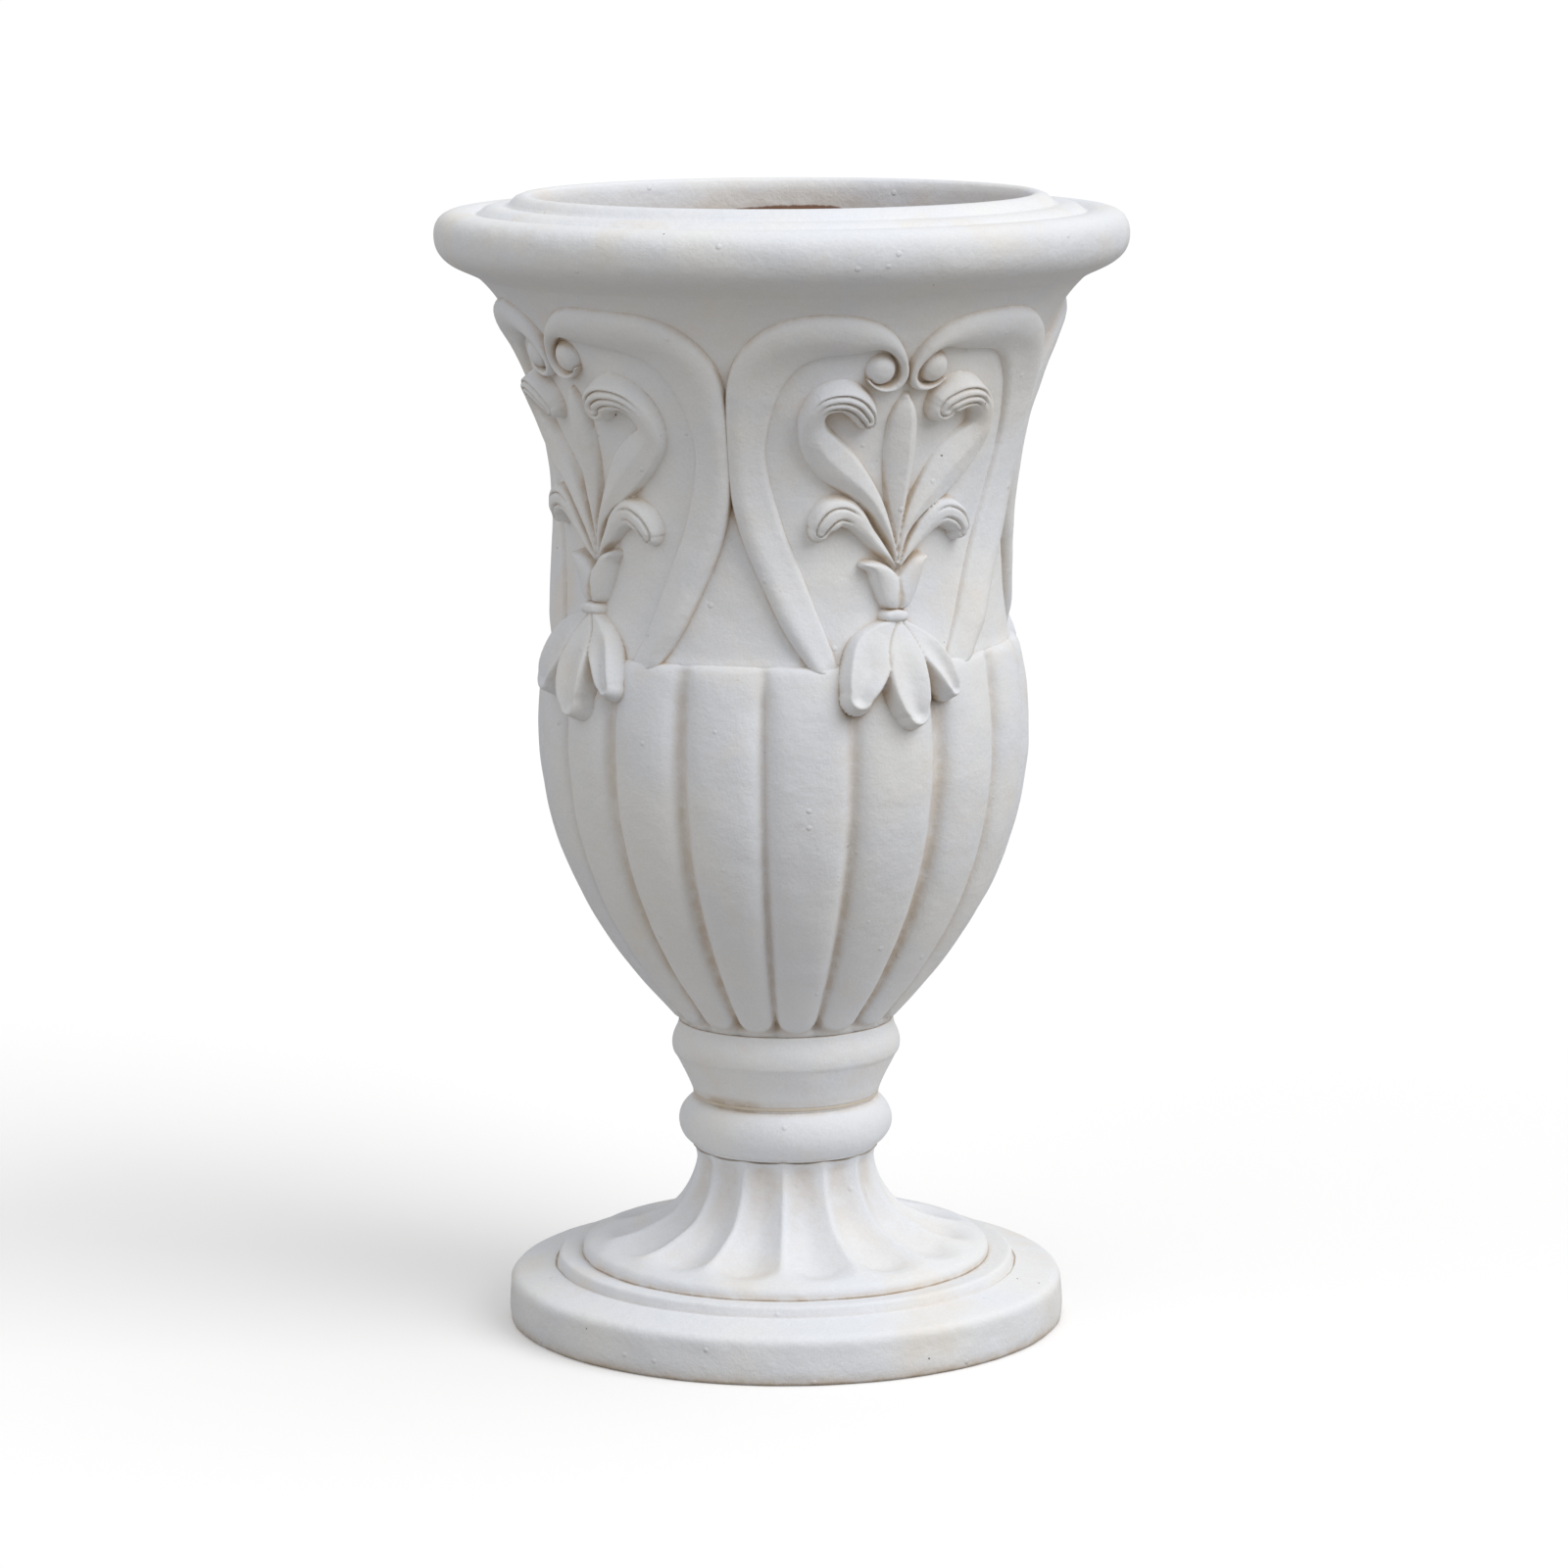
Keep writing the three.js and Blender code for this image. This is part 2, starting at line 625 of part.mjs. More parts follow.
// A spear, two pairs of rolled leaves that spring beside it, and a split calyx that holds their stems.
// Each sprig laps a little over the one before it.
function palmette(panel) {
  const spot = (side, lap) => ({ panel, side, lap, wall: neckWall });
  const parts = [sprig(spot(1, 0), lineThrough(spearLine), 7, leafSection,
    times(spearTaper, spearWidth), times([[0, 0.6], [0.7, 1], [0.93, 0.85], [1, 0.3]], spearRise))];
  for (const side of [-1, 1]) {
    parts.push(sprig(spot(side, 1), lineThrough(upperLeafLine), 13, leafSection,
      times(upperLeafTaper, upperLeafWidth), times(leafSwell, upperLeafRise)));
    parts.push(sprig(spot(side, 2), lineThrough(lowerLeafLine), 8, leafSection,
      times(lowerLeafTaper, lowerLeafWidth), times(leafSwell, lowerLeafRise)));
    parts.push(sprig(spot(side, 3), lineThrough(calyxLine), 3, leafSection,
      times([[0, 0.95], [0.4, 1], [0.75, 0.75], [1, 0.2]], calyxWidth),
      times([[0, 0.6], [0.6, 1], [1, 0.9]], calyxRise)));
  }
  return joined(parts);
}

function tieBead(panel) {
  const spot = { panel, side: 1, wall: neckWall };
  return button(spot, place(tieBeadPlace), tieBeadWidth / 2, tieBeadHeight / 2, tieBeadRise);
}

// Three dished petals that spring from one point and lap over the shoulder onto the bowl.
function tassel(panel) {
  const width = times([[0, 0.3], [0.2, 0.55], [0.45, 0.9], [0.65, 1], [0.85, 0.8], [1, 0.3]], petalWidth);
  const rise = times([[0, 0.5], [0.4, 0.7], [0.75, 1], [1, 0.85]], petalRise);
  const laid = (side, lap, line) => sprig({ panel, side, lap, wall: shoulderWall }, lineThrough(line), 5,
    petalSection, width, rise);
  return joined([laid(-1, 1, sidePetalLine), laid(1, 1, sidePetalLine), laid(1, 0, middlePetalLine)]);
}

function joined(geometries) {
  return toGeometry(geometries.map(toSolid).reduce((whole, part) => whole.add(part)));
}

// ---------------------------------------------------------------- materials

function limewash() {
  return new THREE.MeshStandardMaterial({ color: 0xe6e3de, roughness: 0.9, metalness: 0 });
}

function limewashedRelief() {
  return new THREE.MeshStandardMaterial({ color: 0xe9e7e3, roughness: 0.88, metalness: 0 });
}

function limeMortar() {
  return new THREE.MeshStandardMaterial({ color: 0xb3a289, roughness: 0.95, metalness: 0 });
}

// ---------------------------------------------------------------- the urn

const urn = new THREE.Group();

function addPiece(name, geometry, material) {
  geometry.computeVertexNormals();
  const mesh = new THREE.Mesh(geometry, material);
  mesh.name = name;
  urn.add(mesh);
}

addPiece('plinth', turned(plinthProfile(), ringSteps), limewash());
addPiece('fluted_foot', flutedFoot(), limewash());
addPiece('knop_ring', turned(knopProfile(), ringSteps), limewash());
addPiece('joint_bed', turned(bedProfile(), ringSteps), limeMortar());
addPiece('collar', turned(collarProfile(), ringSteps), limewash());
addPiece('bowl', gadroonedBowl(), limewash());
addPiece('neck', turned(neckProfile(), ringSteps), limewash());
addPiece('rim', turned(rimProfile(), ringSteps), limewash());

panels.forEach((panel, i) => {
  const number = i + 1;
  addPiece(`scroll_left_${number}`, scrollStrap(panel, -1), limewashedRelief());
  addPiece(`scroll_right_${number}`, scrollStrap(panel, 1), limewashedRelief());
  addPiece(`berry_left_${number}`, berry(panel, -1), limewashedRelief());
  addPiece(`berry_right_${number}`, berry(panel, 1), limewashedRelief());
  addPiece(`palmette_${number}`, palmette(panel), limewashedRelief());
  addPiece(`tie_bead_${number}`, tieBead(panel), limewashedRelief());
  addPiece(`tassel_${number}`, tassel(panel), limewashedRelief());
});

export default urn;
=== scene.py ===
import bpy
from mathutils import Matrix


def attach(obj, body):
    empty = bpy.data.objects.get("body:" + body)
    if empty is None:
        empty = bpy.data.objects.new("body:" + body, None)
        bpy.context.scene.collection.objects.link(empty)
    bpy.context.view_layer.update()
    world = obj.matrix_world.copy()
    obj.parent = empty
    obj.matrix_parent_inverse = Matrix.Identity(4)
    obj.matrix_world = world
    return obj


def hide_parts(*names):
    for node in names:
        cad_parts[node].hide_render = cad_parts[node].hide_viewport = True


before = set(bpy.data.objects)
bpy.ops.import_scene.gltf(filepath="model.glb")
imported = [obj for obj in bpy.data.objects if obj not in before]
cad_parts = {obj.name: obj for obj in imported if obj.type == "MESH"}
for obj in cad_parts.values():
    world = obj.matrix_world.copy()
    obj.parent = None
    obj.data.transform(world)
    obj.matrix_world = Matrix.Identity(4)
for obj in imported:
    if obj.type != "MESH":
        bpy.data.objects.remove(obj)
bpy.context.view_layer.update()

import math
import bpy
import numpy as np
from mathutils import Matrix, Vector

# The scene is in metres. Sizes below are in mm and angles in degrees round the urn, as on the drawing.
mm = 0.001
print("frame loaded:", len(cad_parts), "pieces")


def linearColour(hexColour):  # from sRGB hex to the linear values that a shader takes
    channels = [int(hexColour[i:i + 2], 16) / 255 for i in (0, 2, 4)]
    return [c / 12.92 if c <= 0.04045 else ((c + 0.055) / 1.055) ** 2.4 for c in channels] + [1.0]


def addNode(tree, kind, inputs=None, **settings):  # one node, its settings and what feeds it
    made = tree.nodes.new(kind)
    for name, value in settings.items():
        setattr(made, name, value)
    for socket, value in (inputs or {}).items():
        if isinstance(value, bpy.types.NodeSocket):
            tree.links.new(value, made.inputs[socket])
        else:
            made.inputs[socket].default_value = value
    return made


def putInScene(name, data):
    made = bpy.data.objects.new(name, data)
    bpy.context.scene.collection.objects.link(made)
    return made


# Smooth from least, where the values stand at start, up to 1, where they stand at end. Either may be higher.
def ease(values, start, end, least=0):
    t = np.clip((values - start) / (end - start), 0, 1)
    return least + (1 - least) * (t * t * (3 - 2 * t))


def softMin(first, second, blend):  # the smaller of two, with the corner between them rounded off
    share = np.clip(0.5 + 0.5 * (second - first) / blend, 0, 1)
    return second + (first - second) * share - blend * share * (1 - share)


def bezier(corners, count):
    t = np.linspace(0, 1, count)[:, None]
    start, pull, push, end = [np.array(corner, float) for corner in corners]
    return start * (1 - t) ** 3 + 3 * pull * t * (1 - t) ** 2 + 3 * push * t ** 2 * (1 - t) + end * t ** 3


def spline(points, count):  # smooth line through rows of numbers, evenly spaced along their first two columns
    rows = np.array(points, float)
    ends = np.vstack([2 * rows[0] - rows[1], rows, 2 * rows[-1] - rows[-2]])
    perSpan = 24
    t = np.linspace(0, 1, perSpan, endpoint=False)[:, None]
    fine = []
    for i in range(1, len(ends) - 2):
        before, start, end, after = ends[i - 1:i + 3]
        fine.append(0.5 * (2 * start + (end - before) * t
                           + (2 * before - 5 * start + 4 * end - after) * t ** 2
                           + (3 * start - before - 3 * end + after) * t ** 3))
    fine = np.vstack(fine + [rows[-1:]])
    along = np.concatenate([[0], np.cumsum(np.linalg.norm(np.diff(fine[:, :2], axis=0), axis=1))])
    stations = np.linspace(0, along[-1], count)
    return np.column_stack([np.interp(stations, along, column) for column in fine.T])


def turnedOutline(corners, spacing):  # a closed line; corners are (radius, height, rounding or none)
    mostOfEdge, sharpest, roundSteps = 0.49, 0.05, 6  # share of an edge that a rounding may take, mm, points
    points = []
    for i, corner in enumerate(corners):
        here = np.array(corner[:2], float)
        back = np.array(corners[i - 1][:2], float) - here
        ahead = np.array(corners[(i + 1) % len(corners)][:2], float) - here
        backLength, aheadLength = np.linalg.norm(back), np.linalg.norm(ahead)
        rounding = corner[2] if len(corner) > 2 else 0
        rounding = min(rounding, backLength * mostOfEdge, aheadLength * mostOfEdge)
        if rounding > sharpest:
            start, end = here + back / backLength * rounding, here + ahead / aheadLength * rounding
            for t in np.linspace(0, 1, roundSteps):
                points.append(start * (1 - t) ** 2 + 2 * here * t * (1 - t) + end * t ** 2)
        else:
            points.append(here)
    outline = []
    for i, here in enumerate(points):
        step = points[(i + 1) % len(points)] - here
        parts = max(int(np.linalg.norm(step) / spacing), 1)
        outline += [here + step * k / parts for k in range(parts)]
    return np.array(outline)


# The hand of the maker. Every piece passes through byHand, so that what touches keeps touching.
handMade = {
    # mm, waves round, phase, and mm of height to one turn of the wave
    "sway": [(0.42, 2, 0.7, 840), (0.32, 3, 2.1, -380), (0.2, 5, 4.0, 240)],
    "dimpleDepth": 0.16, "dimpleSizes": (17, 46), "dimpleWaves": 26,
    "setsIn": (20, 60),  # mm from the axis over which the unevenness sets in
    "reach": 1.3,  # mm that the sway and dimples can add in all
}
waveSource = np.random.default_rng(11)
waveDirections = waveSource.normal(size=(handMade["dimpleWaves"], 3))
waveDirections /= np.linalg.norm(waveDirections, axis=1)[:, None]
waveLengths = waveSource.uniform(*handMade["dimpleSizes"], handMade["dimpleWaves"])
wavePhases = waveSource.uniform(0, 2 * np.pi, handMade["dimpleWaves"])


def byHand(points):
    x, y, z = points.T
    radius, angle = np.hypot(x, y), np.arctan2(x, -y)
    move = sum(size * np.sin(waves * angle + phase + 2 * np.pi * z / rise)
               for size, waves, phase, rise in handMade["sway"])
    turns = points @ (waveDirections / waveLengths[:, None]).T * 2 * np.pi + wavePhases
    move = move + handMade["dimpleDepth"] * np.sin(turns).sum(1) / math.sqrt(handMade["dimpleWaves"] / 2)
    move = move * ease(radius, *handMade["setsIn"])
    stretch = np.where(radius > 1, (radius + move) / np.maximum(radius, 1), 1)
    return np.column_stack([x * stretch, y * stretch, z])


def azimuths(steps):
    return np.arange(steps) * 360 / steps


def roundTheUrn(radius, angle, height):
    turn = np.radians(angle)
    return np.stack([radius * np.sin(turn), -radius * np.cos(turn), height + 0 * turn], -1)


limewash = {
    "white": "edeeef", "coolWhite": "e9ecf2", "warmWhite": "ece5dc",
    # ochre and umber are also laid as painted shade, in the hollows and along the seams
    "ochreAndShade": "cbbcaa", "umberAndShade": "a8937a", "clay": "a17e69", "clayDark": "735a4a",
    # patterns of the brush and the clay: mm across, detail and roughness
    "noises": {"patches": (85, 3, 0.55), "clouds": (51, 4, 0.55),
               "streaks": (11, 5, 0.62), "grain": (1.6, 2, 0.55)},
    "spacings": {"pinholes": 21, "drops": 24},  # mm from one to the next
    # the hollows and seams that these reaches find are where shade falls
    "reaches": {"crevice": 16, "seam": 4}, "reachSamples": 12,  # mm over which a hollow counts as one
    "raggedness": 0.6,  # how far the brush streaks fray the edge of the wash
    # each mask: its pattern, the two values of it between which the mask rises, its least and its most
    "masks": {
        "thick": ("patches", 0.38, 0.66, 0, 1),
        "warm": ("clouds", 0.52, 0.78, 0, 0.6),
        # hollow lays ochre where shade falls in the hollows: partly the wash held there, partly painted shade
        "hollow": ("crevice", 0.8, 0.38, 0, 1),
        "settledWashAndShade": ("streaks", 0.3, 0.62, 0.45, 1),
        # seam lays umber in the tight gaps between parts, where shade falls: partly dirt there, partly
        # painted shade
        "seam": ("seam", 0.5, 0.15, 0, 1),
        "broken": ("streaks", 0.35, 0.7, 0.05, 0.5),
        "dustAndShade": ("grain", 0.3, 0.7, 0, 0.05),
        "bare": ("frayed", 0.68, 0.9, 0, 1),
        "hole": ("pinholes", 0.034, 0.018, 0, 1),
        "holeGroups": ("patches", 0.52, 0.57, 0, 1),
        "drop": ("drops", 0.09, 0.03, 0, 1),
    },
    # mm up, or down where it is negative, and how strongly it shows
    "relief": {"trowel": (1.6, 0.6), "grain": (0.16, 0.7), "drop": (0.7, 0.7), "hole": (-0.8, 0.8)},
    "roughness": 0.86, "specular": 0.25,
}


# Pressed terracotta brushed with lime wash: a chalky off-white skin, warm ochre where the wash ran thin and
# dirt settled in the hollows, darkened there and along the seams as painted shade, and raw fired clay where
# the brush never reached.
def brushedLimewash(name, look):
    material = bpy.data.materials.new(name)
    material.use_nodes = True
    tree = material.node_tree
    shader = tree.nodes["Principled BSDF"]
    place = addNode(tree, "ShaderNodeTexCoord").outputs["Object"]
    crease = addNode(tree, "ShaderNodeAttribute", attribute_name="crease").outputs["Fac"]
    raw = addNode(tree, "ShaderNodeAttribute", attribute_name="rawClay").outputs["Fac"]

    patterns = {}
    for pattern, (size, detail, roughness) in look["noises"].items():
        patterns[pattern] = addNode(tree, "ShaderNodeTexNoise", {
            "Vector": place, "Scale": 1 / (size * mm), "Detail": detail,
            "Roughness": roughness}).outputs["Fac"]
    for pattern, spacing in look["spacings"].items():
        patterns[pattern] = addNode(tree, "ShaderNodeTexVoronoi", {
            "Vector": place, "Scale": 1 / (spacing * mm)}).outputs["Distance"]
    for pattern, reach in look["reaches"].items():
        patterns[pattern] = addNode(tree, "ShaderNodeAmbientOcclusion", {
            "Distance": reach * mm}, samples=look["reachSamples"]).outputs["AO"]
    patterns["frayed"] = addNode(tree, "ShaderNodeMath", {
        0: patterns["streaks"], 1: look["raggedness"], 2: raw}, operation="MULTIPLY_ADD").outputs[0]

    masks = {}
    for mask, (pattern, start, end, least, most) in look["masks"].items():
        masks[mask] = addNode(tree, "ShaderNodeMapRange", {
            "Value": patterns[pattern], "From Min": start, "From Max": end, "To Min": least, "To Max": most},
            interpolation_type="SMOOTHSTEP").outputs[0]
    # the ochre in the hollows and the umber along the seams follow the ambient occlusion: partly wash and
    # dirt, partly painted shade
    hollow = addNode(tree, "ShaderNodeMath", {
        0: masks["hollow"], 1: crease}, operation="MAXIMUM", use_clamp=True)
    settledWashAndShade = addNode(tree, "ShaderNodeMath", {
        0: hollow.outputs[0], 1: masks["settledWashAndShade"]}, operation="MULTIPLY")
    seam = addNode(tree, "ShaderNodeMath", {0: masks["seam"], 1: masks["broken"]}, operation="MULTIPLY")
    holes = addNode(tree, "ShaderNodeMath", {0: masks["hole"], 1: masks["holeGroups"]}, operation="MULTIPLY")

    colours = {shade: linearColour(look[shade]) for shade in (
        "white", "coolWhite", "warmWhite", "ochreAndShade", "umberAndShade", "clay", "clayDark")}
    fired = addNode(tree, "ShaderNodeMix", {
        0: patterns["streaks"], 6: colours["clay"], 7: colours["clayDark"]}, data_type="RGBA")
    skin = addNode(tree, "ShaderNodeMix", {
        0: masks["thick"], 6: colours["coolWhite"], 7: colours["white"]}, data_type="RGBA")
    layers = [(masks["warm"], colours["warmWhite"]), (settledWashAndShade.outputs[0], colours["ochreAndShade"]),
              (seam.outputs[0], colours["umberAndShade"]), (masks["dustAndShade"], colours["umberAndShade"]),
              (masks["bare"], fired.outputs[2]), (holes.outputs[0], colours["clayDark"])]
    for mask, over in layers:
        skin = addNode(tree, "ShaderNodeMix", {0: mask, 6: skin.outputs[2], 7: over}, data_type="RGBA")
    tree.links.new(skin.outputs[2], shader.inputs["Base Color"])

    heights = {"trowel": patterns["streaks"], "grain": patterns["grain"], "drop": masks["drop"],
               "hole": holes.outputs[0]}
    below = {}
    for mark, (height, strength) in look["relief"].items():
        bump = addNode(tree, "ShaderNodeBump", {
            "Height": heights[mark], "Distance": abs(height) * mm, "Strength": strength, **below},
            invert=height < 0)
        below = {"Normal": bump.outputs["Normal"]}
    tree.links.new(below["Normal"], shader.inputs["Normal"])
    shader.inputs["Roughness"].default_value = look["roughness"]
    shader.inputs["Specular IOR Level"].default_value = look["specular"]
    return material


washedClay = brushedLimewash("limewashBrushedOnPressedTerracotta", limewash)
# Lime mortar trowelled in the joint: a duller, sandier cream line that parts the bowl from its pedestal.
# the mortar's ochre and umber in its hollows and seams are partly painted shade as well
mortarClay = brushedLimewash("limeMortarTrowelledInTheJoint", {
    **limewash, "white": "ddd3c4", "coolWhite": "d8cfc2", "warmWhite": "c9b79f",
    "reaches": {**limewash["reaches"], "crevice": 9}})
print("finishes mixed")


def addPiece(name, points, faces, replaced, material=washedClay, crease=None,
             raw=None):
    mesh = bpy.data.meshes.new(name)
    mesh.from_pydata((byHand(points) * mm).tolist(), [], [list(map(int, face)) for face in faces])
    mesh.polygons.foreach_set("use_smooth", [True] * len(mesh.polygons))
    for field, values in (("crease", crease), ("rawClay", raw)):
        if values is not None:
            layer = mesh.attributes.new(field, "FLOAT", "POINT")
            layer.data.foreach_set("value", np.asarray(values, np.float32))
    mesh.materials.append(material)
    mesh.update()
    piece = putInScene(name, mesh)
    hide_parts(*replaced)
    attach(piece, "root")


def ringFaces(rows, columns, closed=True):  # rows run along the outline, columns round the urn
    row, column = np.meshgrid(np.arange(rows if closed else rows - 1), np.arange(columns), indexing="ij")
    nextRow, nextColumn = (row + 1) % rows, (column + 1) % columns
    return np.stack([row * columns + column, row * columns + nextColumn,
                     nextRow * columns + nextColumn, nextRow * columns + column], -1).reshape(-1, 4)


def tubeFaces(rows, columns, mirrored):  # an open run of rings with a cap on either end
    faces = ringFaces(rows, columns, closed=False).tolist()
    faces += [list(range(columns))[::-1], list(range((rows - 1) * columns, rows * columns))]
    return [face[::-1] for face in faces] if mirrored else faces


def outlineNormals(outline):  # to the right of the line, which is outwards where it runs up the outside
    along = np.roll(outline, -1, 0) - np.roll(outline, 1, 0)
    along /= np.maximum(np.linalg.norm(along, axis=1), 1e-9)[:, None]
    return np.column_stack([along[:, 1], -along[:, 0]])


def rawFrom(row, outline):  # bare clay on the outline from this row on, where the brush never reached
    return (np.arange(len(outline)) >= row).astype(float)[:, None]


def turnedPiece(name, outline, steps, replaced, material=washedClay, cut=None, crease=None,
                raw=None):
    radius = np.repeat(outline[:, :1], steps, 1)
    height = np.repeat(outline[:, 1:], steps, 1)
    if cut is not None:
        normals = outlineNormals(outline)
        radius = radius - normals[:, :1] * cut
        height = height - normals[:, 1:] * cut
    points = roundTheUrn(radius, np.repeat(azimuths(steps)[None, :], len(outline), 0), height)

    def spread(values):
        return None if values is None else np.broadcast_to(values, radius.shape).reshape(-1)

    addPiece(name, points.reshape(-1, 3), ringFaces(len(outline), steps), replaced, material,
             spread(crease), spread(raw))


plinth = {
    # radius, height and rounding of each corner: up the outside, over the step and down into the hollow
    "corners": [(140, 0, 1), (172, 0, 2.5), (172.6, 9, 4), (171.6, 29, 5.5), (144, 34.5, 0.4),
                (143, 33.3, 0), (142.2, 34.7, 0), (141.2, 41, 2.6), (126, 40.2, 0), (98, 40.2, 1),
                (98, 31, 0), (127, 18, 6)],
    "spacing": 2.2, "steps": 240,
    "rawWithin": 138, "rawBelow": 33,  # the wash stops at the foot of the wall
}
outline = turnedOutline(plinth["corners"], plinth["spacing"])
underneath = (outline[:, 0] < plinth["rawWithin"]) & (outline[:, 1] < plinth["rawBelow"])
turnedPiece("plinth_cast", outline, plinth["steps"], ["plinth"], raw=underneath[:, None].astype(float))
print("plinth made")

foot = {
    "underLip": [(97, 35.2), (97, 40.2), (126.8, 40.2), (126.6, 41.4), (126.5, 43.2), (126.3, 44.9),
                 (125.4, 46.6), (123.7, 47.9)],
    "flare": [(121.4, 48.6), (110.5, 52.5), (96, 57.2), (83, 63), (72, 69.5), (64, 79.8), (59, 91.3),
              (57, 103), (57.4, 109.1)],
    "bore": [(37, 108.8), (37, 88.6), (46, 66.8), (72, 45), (84, 35.5)],
    "flutes": 14, "turn": -3.6, "depth": 8.4, "steps": 14 * 24,
    "fluteEnd": 118, "endRound": 11, "runIn": 20,  # radius where it ends, its round end, mm to full depth
    "slender": (82, 54, 0.6),  # between these radii a flute loses depth, down to this share
    "fading": (101, 109, 0.22),  # and between these heights, towards the knop
    # the ochre in the flutes is partly painted shade: darker where a flute is deeper, and higher up under the
    # knop
    "dustAndShade": 0.42, "dustAndShadeDepths": (1.5, 5), "dustAndShadeHeights": (66, 98, 0.3),  # ochre in the flutes, more high up
}
flare = spline(foot["flare"], 60)
outline = np.vstack([foot["underLip"], flare, spline(foot["bore"], 30)])
share = ((azimuths(foot["steps"]) - foot["turn"]) * foot["flutes"] / 360) % 1
scoop = np.sqrt(np.maximum(1 - (2 * share - 1) ** 2, 0))
flute = 0.72 * scoop ** 1.25 + 0.28 * (0.5 - 0.5 * np.cos(2 * np.pi * share))  # a scoop with softened arrises
endRadius = foot["fluteEnd"] - foot["endRound"] * (1 - scoop)
onFlare = np.zeros((len(outline), 1))
onFlare[len(foot["underLip"]):len(foot["underLip"]) + len(flare)] = 1
run = ease(endRadius[None, :] - outline[:, :1], -2, foot["runIn"]) ** 0.8
wideEnd, slenderEnd, slenderShare = foot["slender"]
fadeStart, fadeEnd, fadeShare = foot["fading"]
narrow = ease(outline[:, :1], slenderEnd, wideEnd, slenderShare)
narrow = narrow * ease(outline[:, 1:], fadeEnd, fadeStart, fadeShare)
cut = foot["depth"] * flute[None, :] * run * narrow * onFlare
# ochre with painted shade, by the depth of the flute and the height on the foot
inHollow = foot["dustAndShade"] * ease(cut, *foot["dustAndShadeDepths"]) * ease(outline[:, 1:], *foot["dustAndShadeHeights"])
turnedPiece("fluted_foot_cast", outline, foot["steps"], ["fluted_foot"], cut=cut, crease=inHollow,
            raw=rawFrom(len(foot["underLip"]) + len(flare), outline))
print("foot made")

knop = {
    "radius": 66.4, "bulge": 14.6, "middle": 125.2, "halfHeight": 15.6, "swell": (-1.2, 1.26),  # radians
    "below": [(37.5, 109.12), (57, 109.12), (56.9, 109.6), (56.9, 110.2)],
    "above": [(57.6, 141.2), (57, 141.55), (44, 141.55), (44, 131.6), (37.5, 131.6)],
    "steps": 216,
}
jointBed = {
    "corners": [(44.4, 141.5, 0), (57.7, 141.5, 0.3), (58, 143.5, 0.3), (44.4, 143.5, 0)], "spacing": 2,
}
collar = {
    "spigot": [(30.4, 132.8), (42.8, 132.8), (42.8, 143.45)],
    "flank": [(57.8, 143.45), (58.8, 146.6), (61.8, 153.6), (66.6, 163.2), (68.6, 167.2), (70.4, 170),
              (71, 174.5), (70.3, 179), (68.9, 182.6), (67.8, 185.4), (67.3, 187.6), (67, 189.65)],
    "bore": [(42, 189.65), (30.4, 162)],
}
# the mortar washed out most on one side and left a brown stain above and below: azimuth, half its width, how
# soft its ends are, its share all round, and the heights between which it grows on the knop and on the collar
stain = {"at": -63, "reach": 24, "soft": 12, "least": 0.3, "onKnop": (138.5, 140.6), "onCollar": (150, 144)}
fromStain = np.abs((azimuths(knop["steps"]) - stain["at"] + 180) % 360 - 180)
stained = ease(fromStain, stain["reach"], stain["reach"] - stain["soft"], stain["least"])
swell = [(knop["radius"] + knop["bulge"] * (math.cos(tilt) - 1),
          knop["middle"] + knop["halfHeight"] * math.sin(tilt)) for tilt in np.linspace(*knop["swell"], 34)]
outline = np.array(knop["below"] + swell + knop["above"])
turnedPiece("knop_ring_cast", outline, knop["steps"], ["knop_ring"],
            crease=ease(outline[:, 1:], *stain["onKnop"]) * stained[None, :])
turnedPiece("joint_bed_mortar", turnedOutline(jointBed["corners"], jointBed["spacing"]), knop["steps"],
            ["joint_bed"], mortarClay)
outline = np.vstack([collar["spigot"], spline(collar["flank"], 50), collar["bore"]])
turnedPiece("collar_cast", outline, knop["steps"], ["collar"],
            crease=ease(outline[:, 1:], *stain["onCollar"]) * stained[None, :])
print("knop and collar made")

